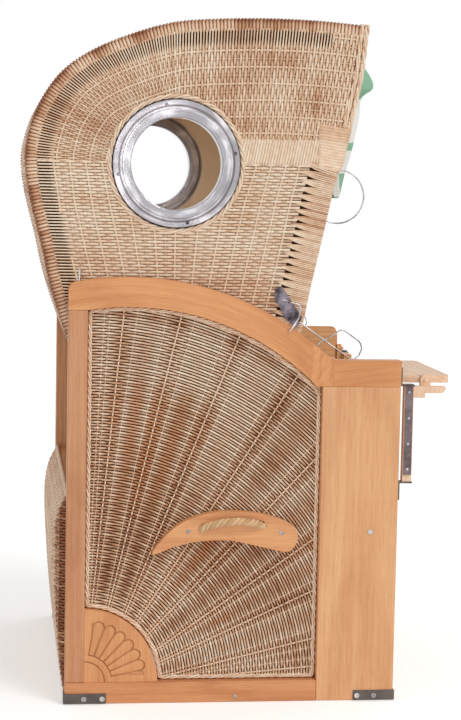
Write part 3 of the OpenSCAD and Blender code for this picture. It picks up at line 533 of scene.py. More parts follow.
def cloth(name, colour, other, threads, sheen=0.25, rough=0.85, through=0.0):
    """Plain woven cloth, in the mesh's own colours where colour is None, with threads to the metre both ways."""
    m = Mat(name, rough=rough, spec=0.2, sheen=sheen, sheen_rough=0.5)
    sx, sy, sz = (m.math("SINE", v * (threads * math.pi)) for v in m.xyz)
    weave = (sx * sy + sy * sz + sz * sx) * 0.4
    cloud, slub = m.noise(m.coord, 14, 3), m.stretched(m.xyz, (60, 420, 420), 3)
    base = colour or m.tint()
    shaded = m.stain(base, base, other, slub, (0.38, 0.0), (0.75, 0.6))
    shaded = m.stain(shaded, base, lin(226, 224, 218), cloud, (0.35, 0.0), (0.75, 0.35))
    shaded = m.stain(shaded, base, other, weave * 0.5 + 0.5, (0.2, 0.35), (0.8, 0.0))
    m.done(shaded, None, weave + slub * 0.5, 0.35, 0.0008)
    if through:
        glow = m.new("BsdfTranslucent", {"Color": shaded})
        both = m.new("MixShader", {0: through, 1: Num(m, m.bsdf.outputs[0]), 2: glow})
        m.feed(m.tree.nodes["Material Output"].inputs["Surface"], both)
    return m.m


def rope_material():
    m = Mat("rope", rough=0.8, spec=0.2, sheen=0.3)
    tint, yarn, soil = m.tint(), m.noise(m.coord, 1100, 3, 0.7), m.noise(m.coord, 55, 2)
    colour = m.stain(tint, tint, lin(170, 138, 100), yarn, (0.38, 0.0), (0.7, 0.7))
    colour = m.stain(colour, tint, lin(196, 168, 130), soil, (0.4, 0.0), (0.8, 0.4))
    return m.done(colour, None, yarn, 0.7, 0.0012)


PAINTED_GAP_SHADE, ROPE = painted_gap_shade_material(), rope_material()
WEAVE = [cane_material(), PAINTED_GAP_SHADE]
CANVAS = cloth("canvas", None, lin(246, 246, 242), 900, sheen=0.1, through=0.7)
LINING = cloth("lining", lin(250, 216, 184), lin(226, 204, 184), 800)
CUSHION = cloth("cushion_cloth", lin(150, 182, 160), lin(196, 206, 196), 560)
PIPING = cloth("piping_cloth", lin(226, 226, 214), lin(206, 206, 196), 900)
WHITE_PAINT = cloth("white_paint", lin(236, 236, 232), lin(214, 212, 206), 300, sheen=0.0, rough=0.4)
STEEL = metal("stainless", lin(206, 202, 202), 0.22, 0.42)
RING_METAL = metal("polished_aluminium", lin(228, 224, 230), 0.18, 0.6, 0.07, ring=True)
LATCH = metal("worn_steel", lin(142, 132, 142), 0.22, 0.22)
STRAP = metal("strap_steel", lin(128, 114, 116), 0.3, 0.5)
PLATE = painted_steel()
POST_WOOD = wood("post", "z", (0.3, 0.36), lin(212, 157, 114), lin(182, 121, 80))
BOARD_WOOD = wood("board", "z", (-0.3, 0.3), lin(238, 185, 136), lin(212, 151, 104), 0.9)
RAIL_WOOD = wood("rail", "polar", (0.6, 0.5), lin(233, 168, 112), lin(200, 131, 80))
LONG_WOOD = wood("long", "y", (0.1, 0.38), lin(224, 159, 108), lin(190, 123, 76))
CROSS_WOOD = wood("cross", "x", (0.2, 0.18))
SHELL_WOOD = wood("shell", "z", (0.2, 0.4), lin(230, 166, 112), lin(198, 132, 82), 0.8, tinted=True)
HANDLE_WOOD = wood("handle", "y", (0.52, 0.36))
LEAF_WOOD = wood("leaf", "x", (-0.4, 0.6), PALE, PALE_DARK, 0.8)
STOWED_WOOD = wood("stowed", "y", (0.6, 0.3), strength=0.8)
TABLE_WOOD = wood("table_post", "z", (-0.35, 0.3), PALE, PALE_DARK, 0.8)

# ---- what every weave shares
BORDER = (0.2, 0.4)         # shades of the two strands of a plain border
ROW_R, RIB_R, HIDDEN_R = 0.0031, 0.0024, 0.0018
ROW_STEP = 0.0055           # between the points of a long row
GAP_DEEP = 0.0054           # from the middle of a weave to the dark sheet behind it, painted shade in the gaps


def rib_r(j, shown=RIB_R):
    """Radius of rib j. Even ribs show, and odd ones lie hidden between them."""
    return HIDDEN_R if j % 2 else shown


def rib_shade(j, n, shown=0.05):
    """Shades of n points along rib j, a hidden one painted darker as shade where it lies under the rows."""
    return shade_of(rng.normal(0.45 if j % 2 else shown, 0.05, n))


# ---- woven side panels
def in_panel(p, m=0.003):
    """Which side view points lie inside the panel's timber and shell, by a margin m."""
    y, z = p[..., 0], p[..., 1]
    return ((dist(p, RAIL_AT) < RAIL_IN - m) & (y > BOARD_Y + m) & (y < POST_Y - m) & (z > FLOOR_RAIL + m)
            & (dist(p, SHELL_AT) > SHELL_R + m))


# angle far out and offset from the shell's centre in millimetres of each bold rib, which has a light one beside it
FAN = [(5, 20), (13.9, 38), (25, 38), (35.5, 41), (47, 36), (57.8, 32), (68.5, 31), (76.8, 15), (84.5, 0), (89.2, -5)]
FAN_SIDE = 2.1


def side_panel(s):
    """Rows of cane round the corner shell, over and under the fan's ribs, inside a border along the timber."""
    st, inside = Strands(), Strands()
    ribs = [(a + side, off / 1000, side == 0) for a, off in FAN for side in (-FAN_SIDE, 0, FAN_SIDE)][:-1]
    far, offset = np.array([r[0] for r in ribs]), np.array([r[1] for r in ribs])
    first, pitch, rows, amp = 0.1765, 0.0067, 112, 0.0027

    def at(radius, theta):
        t = np.radians(theta)
        return points(SHELL_AT[0] - radius * np.cos(t), SHELL_AT[1] + radius * np.sin(t))

    for k in range(rows):
        radius = first + pitch * k
        theta = np.linspace(0, 90, int(radius * 1.571 / 0.0053))
        phase = np.interp(theta, far - np.degrees(np.arcsin(offset / radius)), np.arange(len(ribs)))
        h = amp * np.cos(np.pi * (phase + k))
        p = at(radius, theta)
        # light beside each bold rib, and darker patches between
        light = np.exp(-((np.abs((phase - 1 + 1.5) % 3 - 1.5) - 1) / 0.3) ** 2)
        m = 0.28 + 0.48 * patches(theta, radius, 3, 5.5, 0.13) - 0.42 * light + rng.normal(0, 0.09)
        # painted shadow: two darker patches, under and beside the carry handle
        for more, turn, wide, out, deep in ((0.14, 42, 18, 0.42, 0.13), (0.4, 72, 15, 0.36, 0.14)):
            m = m + more * np.exp(-((theta - turn) / wide) ** 2 - ((radius - out) / deep) ** 2)
        # painted shade where a row dips under a rib, and lighter at the lowest angles
        m = m + 0.26 * (1 - light) * np.clip(-h / amp, 0, 1) - 0.1 * np.clip((30 - theta) / 30, 0, 1)
        warm = ((1 - light) * np.clip(patches(theta, radius, 5, 8, 0.16) * 1.6 - 0.75, 0, 0.7))[:, None]
        colour = shade_of(m) * (1 - warm) + ORANGE * warm
        st.on_side(s, in_panel(p), p, PANEL_X + h, 0.00245, colour, 5, 0.9)
        inner = s * (PANEL_X - 0.0083 + 0.0016 * np.cos(np.pi * (phase + k)))
        inside.runs(in_panel(p), yz(p, inner), (-s, 0, 0), ROW_R, colour, 5, 0.7, step=2)
    radius = np.arange(first - pitch, first + rows * pitch, pitch / 2)
    for j, (a, off, bold) in enumerate(ribs):
        p = at(radius, a - np.degrees(np.arcsin(off / radius)))
        h = -amp * (0.9 if bold else 0.5) * np.cos(np.pi * (j + (radius - first) / pitch))
        # thin ribs painted darker, as shade where they lie under the rows
        colour = shade_of(np.full(len(p), 0.02 if bold else 0.5) + rng.normal(0, 0.05, len(p)))
        st.on_side(s, in_panel(p), p, PANEL_X + h, 0.0022 if bold else 0.0016, colour, 4)
    # twisted border along the timber and the shell
    inset, low = 0.006, FLOOR_RAIL + 0.006
    top = math.degrees(math.acos((POST_Y - inset - RAIL_AT[0]) / (RAIL_IN - inset)))
    end = 180 - math.degrees(math.acos((RAIL_AT[0] - BOARD_Y - inset) / (RAIL_IN - inset)))
    edge = circle(RAIL_AT, RAIL_IN - inset, np.radians(np.linspace(top, end, 80)))
    foot = [[BOARD_Y + inset, low], [POST_Y - SHELL_R - 0.008, low]]
    shell = circle(SHELL_AT, SHELL_R + 0.007, np.radians(np.linspace(178, 92, 30)))
    loop = np.concatenate([edge, foot, shell, [[POST_Y - inset, FLOOR_RAIL + SHELL_R + 0.01]], edge[:1]])
    for face in (1, -1):
        path = yz(dense(loop, ROW_STEP), s * (PANEL_X + face * 0.002))
        twist(st, path, (s, 0, 0), 0.0104, 0.055, (0.0, 0.12, 0.3), sides=5)
    # a dark sheet behind the panel: painted shade in the gaps between the strands
    st.polygon(yz(loop[:-1], s * (PANEL_X - 0.0058)))
    st.weave("woven_side_panel_" + SIDE[s], "base", "side_panel_" + SIDE[s])
    inside.build("woven_side_panel_" + SIDE[s] + "_inside", "base", WEAVE[:1], (), "wicker")


# ---- woven hood
# side view points in millimetres of each rib below the porthole, rear first
RIBS_B = [[(434.6, 1270), (414, 1140), (397, 1073), (383, 1020)], [(397, 1270), (383, 1169), (367, 1102), (340, 991)],
          [(361, 1270), (337, 1135), (321, 1073), (304, 996)], [(323, 1270), (306, 1181), (286, 1097), (267, 1006)],
          [(262, 1180), (251, 1126), (229, 1006)], [(212, 1180), (197, 1102), (189, 1006)],
          [(151, 1180), (149, 1092), (149, 1008)], [(92, 1180), (97, 1104), (106, 1008)],
          [(28, 1180), (42, 1128), (65, 998)], [(-37, 1255), (-13, 1176), (6, 1092), (28, 986)],
          [(-73, 1260), (-54, 1188), (-30, 1080), (-11, 986)], [(-108, 1260), (-87, 1183), (-66, 1085), (-45, 986)],
          [(-141, 1265), (-119, 1169), (-104, 1094), (-80, 984)]]
HOOD_X, HOOD_PITCH, HOOD_AMP = 0.3937, 0.007, 0.0026     # middle of the weave, row to row, and how far strands wave
PLAIT_R = 0.157             # the plaited ring round the porthole ends here
LEVEL_TOP = 1.2625          # height of the first level row
HOOD_STEP = 0.0042          # between the points of a row
BLOCK_LOW, BLOCK_TOP = 1.268, 1.356     # the wrapped block at the mouth


def rib_b(z):
    """Where the ribs of the hood's lower weave stand at height z, rear first, with a hidden one between each two."""
    rows = []
    for line in RIBS_B:
        y, h = np.array(line, float)[::-1].T / 1000
        lean = (y[0] - y[1]) / (h[0] - h[1])
        rows.append(np.where(z < h[0], y[0] + (z - h[0]) * lean, np.interp(z, h, y)))
    rows = np.array(rows)
    out = np.empty((2 * len(rows) - 1,) + rows.shape[1:])
    out[0::2], out[1::2] = rows, (rows[1:] + rows[:-1]) / 2
    return out


def row_height(phase, woven):
    """How far a row stands off: it waves where it is woven, and lies straight elsewhere."""
    return HOOD_AMP * (np.cos(np.pi * phase) * woven + (1 - woven) * 0.5)


def rib_height(j, rows):
    return -HOOD_AMP * (0.5 if j % 2 else 0.95) * np.cos(np.pi * (j + rows))


def row_start(sigma):
    """Where an upper row starts on the outline, its direction inwards, and how much of that is straight in."""
    p, n = hood_line.at(sigma), hood_line.right(sigma)
    lean = 0.15 * np.clip((PORT_AT[0] - p[..., 0]) / 0.45, 0, 1)
    v = points(lean, -np.ones_like(lean))
    v = unit(np.where((p[..., 0] > PORT_AT[0])[..., None], unit(PORT_AT - p), v))
    return p, v, (v * n).sum(-1)


def in_upper(p):
    """Which side view points lie in the upper weave, clear of the porthole, the mouth, the trim and the block."""
    y, z = p[..., 0], p[..., 1]
    return ((z > 1.2645) & (dist(p, PORT_AT) > PLAIT_R) & (y > mouth_y(z) + 0.024) & ~((z < 1.318) & (y < 0.03))
            & ~((y < -0.19) & (z < 1.352 + 0.15 * (y + 0.184))))


def in_lower(p):
    """Which lie in the lower weave, clear of the porthole and of the skirt's round cut."""
    return ((dist(p, PORT_AT) > PLAIT_R) & ((dist(p, PIVOT) > SKIRT_R + 0.005) | (p[..., 0] > 0.34))
            & (p[..., 1] > 0.804))


def upper_weave(st, s):
    """Round the roof and the rear corner, rows run in from the outline."""
    start, first, gap, corner = 0.012, 0.075, 0.0191, -0.215
    end = hood_line.s[np.where((hood_line.p[:, 0] > 0.4) & (hood_line.p[:, 1] < 1.2685))[0][0]]
    count = int((end - start) / HOOD_PITCH) + 2
    for i in range(count):
        p, v, c = row_start(start + HOOD_PITCH * i)
        t = np.arange(0.024 / c, 0.36, HOOD_STEP)
        q = p + v * t[:, None]
        woven = np.interp(t * c, [0.052, 0.066], [0, 1]) if p[0] > corner else np.ones(len(t))
        squeeze = np.where(p[0] > PORT_AT[0], dist(q, PORT_AT) / dist(p, PORT_AT), 1.0)
        m = 0.13 + 0.5 * patches(HOOD_PITCH * i, t * c, 11, 0.09, 0.05) ** 1.6 + rng.normal(0, 0.1)
        h = row_height((t * c - first) / gap + i, woven)
        # painted shade: darker where a row dips under a rib
        colour = cane_colour(m + 0.14 * woven * np.clip(-h / HOOD_AMP, 0, 1), len(t))
        thick = (0.0019 + 0.0013 * woven) * np.clip(squeeze * 1.1, 0.5, 1)
        st.on_side(s, in_upper(q), q, HOOD_X + h, thick, colour, 6, 0.8)
    i = np.arange(-1, count + 2, 1 / 3)
    p, v, c = row_start(np.clip(start + HOOD_PITCH * i, 0, None))
    for j in range(-2, 17):
        q = p + v * ((first + gap * j) / c)[:, None]
        mask = in_upper(q) & ((j >= 0) | (p[:, 0] < corner))
        st.on_side(s, mask, q, HOOD_X + rib_height(j, i), rib_r(j), rib_shade(j, len(i)), 5)


def lower_weave(st, s):
    """Below the porthole's middle, rows are level."""
    for i in range(66):
        z = LEVEL_TOP - HOOD_PITCH * i
        y = np.arange(mouth_y(z) + 0.074, rear_y(z) - 0.026, HOOD_STEP)
        woven = np.interp(rear_y(z) - y, [0.056, 0.07], [0, 1])
        at_rib = rib_b(np.array(z))
        h = row_height(np.interp(-y, -at_rib, np.arange(len(at_rib))) + i, woven)
        q = points(y, z)
        m = -0.06 + 0.42 * patches(y, z, 12, 0.12, 0.045) ** 1.6 + rng.normal(0, 0.1)
        # painted shade: darker where a row dips under a rib
        colour = cane_colour(m + 0.1 * woven * np.clip(-h / HOOD_AMP, 0, 1), len(y))
        st.on_side(s, in_lower(q), q, HOOD_X + h, 0.0019 + 0.0015 * woven, colour, 6, 0.75)
    z = np.arange(1.264, 0.8, -HOOD_PITCH / 3)
    for j, y in enumerate(rib_b(z)):
        q, h = points(y, z), rib_height(j, (LEVEL_TOP - z) / HOOD_PITCH)
        mask = in_lower(q) & (y > mouth_y(z) + 0.08) & (y < rear_y(z) - 0.066)
        st.on_side(s, mask, q, HOOD_X + h, rib_r(j, 0.0025), rib_shade(j, len(z)), 5)


def hood_trim(st, s):
    """Unwoven strands, wrapped block, rolled edge, front edge, plaits and borders of one side."""
    normal = (s, 0, 0)
    # strands left unwoven in front of the porthole
    for y in np.arange(-0.2038, 0.034, 0.0066):
        q = points(y + 0.012 * np.linspace(0, 1, 8), np.linspace(1.323, 1.262, 8))
        for a, b in inside_runs((dist(q, PORT_AT) > 0.155) & (q[:, 0] > -0.189)):
            st.tube(yz(q, s * 0.3955)[a:b], normal, 0.0034, shade_of(rng.normal(0.08, 0.08)), 6, 0.8)
    # wrapped block at the front, its first strands darker
    for k, z in enumerate(np.arange(1.358, 1.261, -0.0069)):
        y = np.linspace(-0.184, mouth_y(z) + 0.004, 8)
        colour = shade_of(rng.normal(0.38 if k < 5 else 0.14, 0.05))
        st.tube(yz(points(y, z + 0.15 * (y + 0.184)), s * 0.3958), normal, 0.004, colour, 6)
    # rolled edge: each strand comes over from the roof and turns back into the side, with a thinner one between. The
    # outer strands, turned away on the corner, and the thinner ones are painted darker as painted shade.
    deep = np.array([0.0052, 0.0036, 0.0034, 0.0048, 0.009, 0.015, 0.021, 0.0265, 0.0285])
    x = np.array([0.366, 0.373, 0.383, 0.3905, 0.3952, 0.3962, 0.3958, 0.394, 0.391])
    darker = np.array([1.1, 1.1, 1.0, 0.75, 0.42, 0.16, 0.03, 0.08, 0.25])
    for k, sigma in enumerate(np.arange(0.006, HOOD_LOW, 0.0042)):
        under = k % 2
        m = 0.6 * patches(sigma, 0, 14, 0.05) ** 1.5 + rng.normal(0.75 if under else 0.06, 0.08)
        q = yz(hood_line.off(sigma, deep + 0.0024 * under), s * (x - 0.0012 * under))
        st.tube(q, np.append(0, hood_line.tangent(sigma)), 0.002 if under else 0.0032, shade_of(m + darker), 6)
    # the front edge: fine strands wrapped round it, which below the block part behind it in fours
    ang = np.linspace(0, np.pi, 9)
    x = np.concatenate([np.full(6, 0.3965), 0.383 + 0.0135 * np.cos(ang), [0.3695, 0.3695]])
    x[0] -= 0.003
    for k, sigma in enumerate(np.arange(0.004, mouth_line.length, 0.0043)):
        t, z = mouth_line.tangent(sigma), mouth_line.at(sigma)[1]
        below = z < BLOCK_LOW
        back = 0.084 if below else (0.012 if z > BLOCK_TOP else 0.02)
        deep = np.concatenate([np.linspace(back, 0.013, 6), 0.0115 - 0.0085 * np.sin(ang), [0.017, 0.023]])
        gather = np.interp(deep, [0.05, 0.08], [0, 0.0034 * (k % 4 - 1.5)]) if below else 0 * deep
        m = rng.normal(0.16, 0.07) + 0.3 * patches(sigma, 0, 15, 0.03) ** 2 + (0.25 if k % 4 == 0 else 0)
        q = mouth_line.off(sigma, -deep) - t * gather[:, None]
        st.tube(yz(q, s * x), np.append(0, t), 0.00215, shade_of(m), 6)
    # two plaits down the front edge, above the block
    top = mouth_line.p[mouth_line.p[:, 1] > 1.345]
    back = -mouth_line.right(np.linspace(0, 0.2, len(top)))
    for deep, wide, lay, turn in ((0.0075, 0.0125, 0.085, 0.0), (0.019, 0.0115, 0.1, 1.2)):
        twist(st, yz(top + back * deep, s * 0.394), normal, wide, lay, (0.0, 0.06, 0.3), sides=7, turn=turn)
    # plaited ring round the porthole, and the border of the round cut over the frame
    ring = circle(PORT_AT, 0.1555, np.linspace(0, 2 * np.pi, 200))
    twist(st, yz(ring, s * 0.3945), normal, 0.013, 0.065, (0.0, 0.1, 0.3))
    skirt = circle(PIVOT, SKIRT_R + 0.005, np.linspace(math.radians(138), math.radians(75), 90))
    skirt = skirt[(skirt[:, 0] > mouth_y(skirt[:, 1]) + 0.01) & (skirt[:, 0] < 0.345) & (skirt[:, 1] > 0.8)]
    twist(st, yz(skirt, s * 0.394), normal, 0.0095, 0.018, BORDER)


def hood_side(s):
    field, trim, node = Strands(), Strands(), "hood_side_" + SIDE[s]
    upper_weave(field, s)
    lower_weave(field, s)
    hood_trim(trim, s)
    field.weave("woven_" + node, "hood", node)
    trim.weave("hood_edges_" + SIDE[s], "hood")
    # a dark sheet in the middle of the weave, a little smaller than the side: painted shade in the gaps between the
    # strands
    dark = copy_faces(nodes[node], "hood_gap_shade_" + SIDE[s], lambda n: n.x * s > 0.9, -0.0114 * s)
    for v in dark.data.vertices:
        v.co.y = PORT_AT[0] + (v.co.y - PORT_AT[0]) * 0.982
        v.co.z = PORT_AT[1] + (v.co.z - PORT_AT[1]) * 0.982
    register(dark, "hood", [PAINTED_GAP_SHADE], [])


def hood_roof():
    """The woven roof and back, in strands that cross the hood, as three pieces, and the roof's front edge."""
    half, deep, gap = 0.386, 0.0062, 0.019
    x, ribs = np.arange(-0.387, 0.3871, ROW_STEP), np.arange(-0.38, 0.381, gap)
    sigma = np.arange(0.03, hood_line.length - 0.004, HOOD_PITCH)
    thirds = np.array_split(np.arange(len(sigma)), 3)
    # the crown and the back are painted darker, as painted shade
    for name, rows, darker in zip(("roof", "crown", "back"), thirds, (0, 0.08, 0.16)):
        st = Strands()
        for i in rows:
            n = hood_line.right(sigma[i])
            q = hood_line.off(sigma[i], deep - HOOD_AMP * np.cos(np.pi * ((x - ribs[0]) / gap + i)))
            m = 0.1 + 0.45 * patches(x, HOOD_PITCH * i, 21, 0.16, 0.06) + rng.normal(0, 0.12)
            # rows painted darker towards their ends, as painted shade where the hood turns away
            m = m + np.interp(np.abs(x), [0.345, 0.384], [0, 0.6]) + darker
            st.tube(yz(q, x), (0, -n[0], -n[1]), ROW_R, cane_colour(m, len(x)), 5, 0.8)
        lo, hi = sigma[rows[0]], sigma[rows[-1]] + 0.004
        along = np.arange(lo - HOOD_PITCH / 2, hi, HOOD_PITCH / 2)
        for j, at_x in enumerate(ribs):
            q = hood_line.off(along, deep - rib_height(j, (along - sigma[0]) / HOOD_PITCH))
            st.tube(yz(q, at_x), yz(-hood_line.right(along), 0), rib_r(j), rib_shade(j, len(q)), 4)
        # a dark sheet behind the rows: painted shade in the gaps between the strands
        g = hood_line.off(np.linspace(lo - 0.003, hi, 60), deep + GAP_DEEP)
        st.sheet(np.stack([yz(g, -half), yz(g, half)], 1))
        st.weave("woven_hood_" + name, "hood", "hood_shell")
    st = Strands()
    ang = np.linspace(0, np.pi, 9)
    back = np.concatenate([[0.036, 0.024, 0.014], 0.0115 - 0.0095 * np.sin(ang), [0.017, 0.022]])
    down = np.concatenate([[0.008, 0.0035, 0.003], 0.0145 - 0.0115 * np.cos(ang), [0.026, 0.026]])
    q = hood_line.at(0.0) + hood_line.tangent(0.01) * back[:, None] + hood_line.right(0.0) * down[:, None]
    for at_x in np.arange(-0.3835, 0.384, 0.0067):
        st.tube(yz(q, at_x), (1, 0, 0), ROW_R, shade_of(rng.normal(0.16, 0.08)), 6)
    # borders of the shell's edges below the sides
    edge = hood_line.off(np.arange(HOOD_LOW, hood_line.length, 0.004), 0.006)
    for s in SIDE:
        twist(st, yz(edge, s * 0.3835), (s, 0, 0), 0.0095, 0.018, BORDER)
    foot = points(np.linspace(-half, half, 200), *hood_line.off(hood_line.length, 0.006))
    twist(st, foot, (0, 1, 0), 0.0105, 0.02, BORDER)
    st.weave("hood_front_edge", "hood", "hood_rim")


# ---- rear panel and footrest fronts
def rear_weave():
    """The woven rear panel: rows across the bulge, wrapped round its ends."""
    st = Strands()
    bulge = Line([[395.5, 6], [407, 80], [418, 200], [427.5, 358], [419.5, 435], [393.5, 490]]).p
    end, corner, reach, pitch, gap = 0.4072, 0.064, 0.031, 0.007, 0.021
    a = np.radians(np.linspace(0, 90, 14))
    xs = np.concatenate([np.arange(0, end - corner, ROW_STEP), end - corner + corner * np.sin(a)])
    ys = np.concatenate([np.full(len(xs) - len(a), reach), reach * np.cos(a)])
    path = dense(points(np.concatenate([-xs[:0:-1], xs]), np.concatenate([ys[:0:-1], ys])), ROW_STEP)
    along = travelled(path)
    t = np.gradient(path, axis=0)
    out = points(-t[:, 1], t[:, 0]) / np.linalg.norm(t, axis=1)[:, None]

    def at(z, h, k=slice(None)):
        """The plan's points k at height z, standing out by h."""
        depth = np.minimum(path[k, 1], np.maximum(np.interp(z, bulge[:, 1], bulge[:, 0]) - 0.397, 0))
        return points(path[k, 0] + out[k, 0] * h, 0.3925 + depth + out[k, 1] * h, z)

    rows = np.arange(0.012, 0.486, pitch)
    for i, z in enumerate(rows):
        m = 0.12 + 0.45 * patches(path[:, 0], z, 31, 0.14, 0.05) + rng.normal(0, 0.12)
        # the ends, where the rows wrap round, painted darker as painted shade
        m = m + np.interp(np.abs(path[:, 0]), [0.375, 0.402], [0, 0.75])
        h = 0.0026 * np.cos(np.pi * (along / gap + i))
        st.tube(at(z, h), (0, 0, 1), ROW_R, cane_colour(m, len(path)), 5)
    # a dark sheet behind the rows: painted shade in the gaps between the strands
    st.sheet(np.stack([at(z, -GAP_DEEP) for z in rows[::3]]))
    z = np.arange(0.0085, 0.488, pitch / 2)
    for j, s_j in enumerate(np.arange(0.0, along[-1], gap)):
        k = int(np.argmin(abs(along - s_j)))
        h = -0.003 * np.cos(np.pi * (j + (z - rows[0]) / pitch))
        st.tube(at(z, h, k), (out[k, 0], out[k, 1], 0), rib_r(j), rib_shade(j, len(z), 0.08), 4)
    for z, wide in ((0.4865, 0.01), (0.0105, 0.009)):
        twist(st, dense(at(z, 0.0), 0.003), (0, 0, 1), wide, 0.018, BORDER)
    st.weave("woven_rear_panel", "base", "rear_panel")


def footrest_weave(s):
    """The woven front of a footrest: level rows over upright ribs, with a border round it."""
    x0, x1, z0, z1, pitch, gap = 0.056, 0.361, 0.071, 0.235, 0.0067, 0.019
    lo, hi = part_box("footrest_panel_" + SIDE[s])
    y0 = (lo.y + hi.y) / 2
    st, front, x = Strands(), (0, -1, 0), np.arange(x0, x1 + 0.001, 0.005)
    for i, z in enumerate(np.arange(z0 + 0.005, z1 - 0.003, pitch)):
        h = -0.0027 * np.cos(np.pi * ((x - x0) / gap + i))
        m = 0.12 + 0.45 * patches(x, z, 41 + s, 0.09, 0.05) + rng.normal(0, 0.12)
        st.tube(points(s * x, y0 + h, z), front, 0.0029, cane_colour(m, len(x)), 6, 0.85)
    z = np.arange(z0, z1, pitch / 3)
    for j, at_x in enumerate(np.arange(x0 + gap, x1, gap)):
        h = 0.0028 * np.cos(np.pi * (j + 1 + (z - z0 - 0.005) / pitch))
        st.tube(points(s * at_x, y0 + h, z), front, rib_r(j), rib_shade(j, len(z), 0.08), 5)
    m = 0.0045
    loop = np.array([[x0 + m, z0 + m], [x1 - m, z0 + m], [x1 - m, z1 - m], [x0 + m, z1 - m], [x0 + m, z0 + m]])
    path = dense(loop, 0.002)
    twist(st, points(s * path[:, 0], y0 - 0.002, path[:, 1]), front, 0.0085, 0.016, (0.25, 0.45))
    # a dark sheet behind the weave: painted shade in the gaps between the strands
    st.polygon(points(s * loop[:-1, 0], y0 + 0.0056, loop[:-1, 1]))
    st.weave("woven_footrest_" + SIDE[s], "footrest_box_" + SIDE[s], "footrest_panel_" + SIDE[s])


# ---- carved shells, table straps and rope grips
def carved_shell(s):
    """Corner shell: six cushioned petals cut into the quarter board round a raised band and hub."""
    face, back, petals, start = 0.447, 0.418, 6, 11
    radius, turn = np.meshgrid(np.linspace(0.0, SHELL_R, 200), np.linspace(0, 90, 260), indexing="ij")
    width = 70.5 / petals
    k = np.clip(np.floor((turn - start) / width), 0, petals - 1)
    off = (turn - start - (k + 0.5) * width) / (width / 2)
    tip_r = 0.135
    tip_w = tip_r * math.sin(math.radians(width / 2))
    y, z = radius * np.cos(np.radians(turn)), radius * np.sin(np.radians(turn))
    mid = np.radians(start + (k + 0.5) * width)
    far = np.hypot(y - tip_r * np.cos(mid), z - tip_r * np.sin(mid)) / tip_w
    across = np.where(radius > tip_r * 0.98, far, np.abs(off))
    petal = (across < 1) & (radius > 0.064)

    def round_top(v):
        return np.sqrt(np.clip(1 - v ** 2, 0, 1))

    sunk = np.where(petal, -0.005 + 0.004 * round_top(across), 0.0)
    sunk = np.where(petal, sunk * np.interp(radius, [0.064, 0.069, 0.1], [0.9, 1.1, 1.0]), sunk)
    band = (radius > 0.0495) & (radius <= 0.064)
    sunk = np.where(band, -0.0012 + 0.0012 * round_top((radius - 0.0568) / 0.0075), sunk)
    sunk = np.where((radius > 0.0472) & (radius <= 0.0495), -0.0036, sunk)
    sunk = np.where((radius > 0.0635) & (radius < 0.066) & petal, -0.0046, sunk)
    beside = (radius > 0.066) & (radius < 0.142) & ~petal & ((turn < start) | (turn > 81.5))
    for edge in (y, z):
        strip = (edge > 0.0165) & (edge < 0.0245) & beside
        sunk = np.where(strip, -0.0036 + 0.0012 * round_top((edge - 0.0205) / 0.004), sunk)

    def at(h):
        return points(s * h, SHELL_AT[0] - y, SHELL_AT[1] + z)

    st = Strands()
    top, under = at(face + sunk), at(back)
    # painted shade: the deeper a point is sunk, the darker its colour
    hollow_shade = np.clip((-sunk - 0.0016) / 0.0034, 0, 1)[..., None] ** 1.5
    st.sheet(top, (1 - hollow_shade * (1 - np.array([0.42, 0.3, 0.22]))).reshape(-1, 3), slot=0)
    for ring in (np.s_[-1, :], np.s_[:, 0], np.s_[:, -1]):
        st.sheet(np.stack([top[ring], under[ring]]), slot=0)
    st.sheet(under[::40, ::37], slot=0)
    obj = st.build("carved_shell_" + SIDE[s], "base", [SHELL_WOOD], ["corner_shells"], "teak")
    bm = bmesh.new()
    bm.from_mesh(obj.data)
    bmesh.ops.remove_doubles(bm, verts=bm.verts, dist=1e-6)
    bmesh.ops.recalc_face_normals(bm, faces=bm.faces)
    bm.to_mesh(obj.data)
    bm.free()


def table_strap(s):
    """Steel strap with four screws on a table post."""
    x, y = -0.4518, -0.404

    def place(px, py, pz):
        """A point on the right post, or on the stowed left one, which has turned about its pivot."""
        return points(px, py, pz) if s < 0 else points(0.436 + py + 0.405, -0.405 + px + 0.436, pz)

    st = Strands()
    normal = place(x - 1, y, 0.6) - place(x, y, 0.6)
    st.tube(place(x, y, np.linspace(0.5425, 0.752, 5)), normal, 0.0134, (1, 1, 1), 4, 0.085)
    ang = np.linspace(0, 2 * np.pi, 17)
    # radius and height of each ring of a domed screw head with a socket
    head = ((0.0036, 0.0), (0.0036, 0.0006), (0.0031, 0.0014), (0.002, 0.002), (0.0009, 0.0021), (0.0008, 0.0013),
            (0.00001, 0.0013))
    for at_z in (0.7386, 0.6766, 0.6156, 0.5562):
        st.sheet([place(x - 0.001 - h, y + r * np.cos(ang), at_z + r * np.sin(ang)) for r, h in head])
    body = "table_arm_right" if s < 0 else "table_left"
    st.build("table_strap_" + SIDE[s], body, [STRAP, STEEL], (), "stainless", smooth=False)


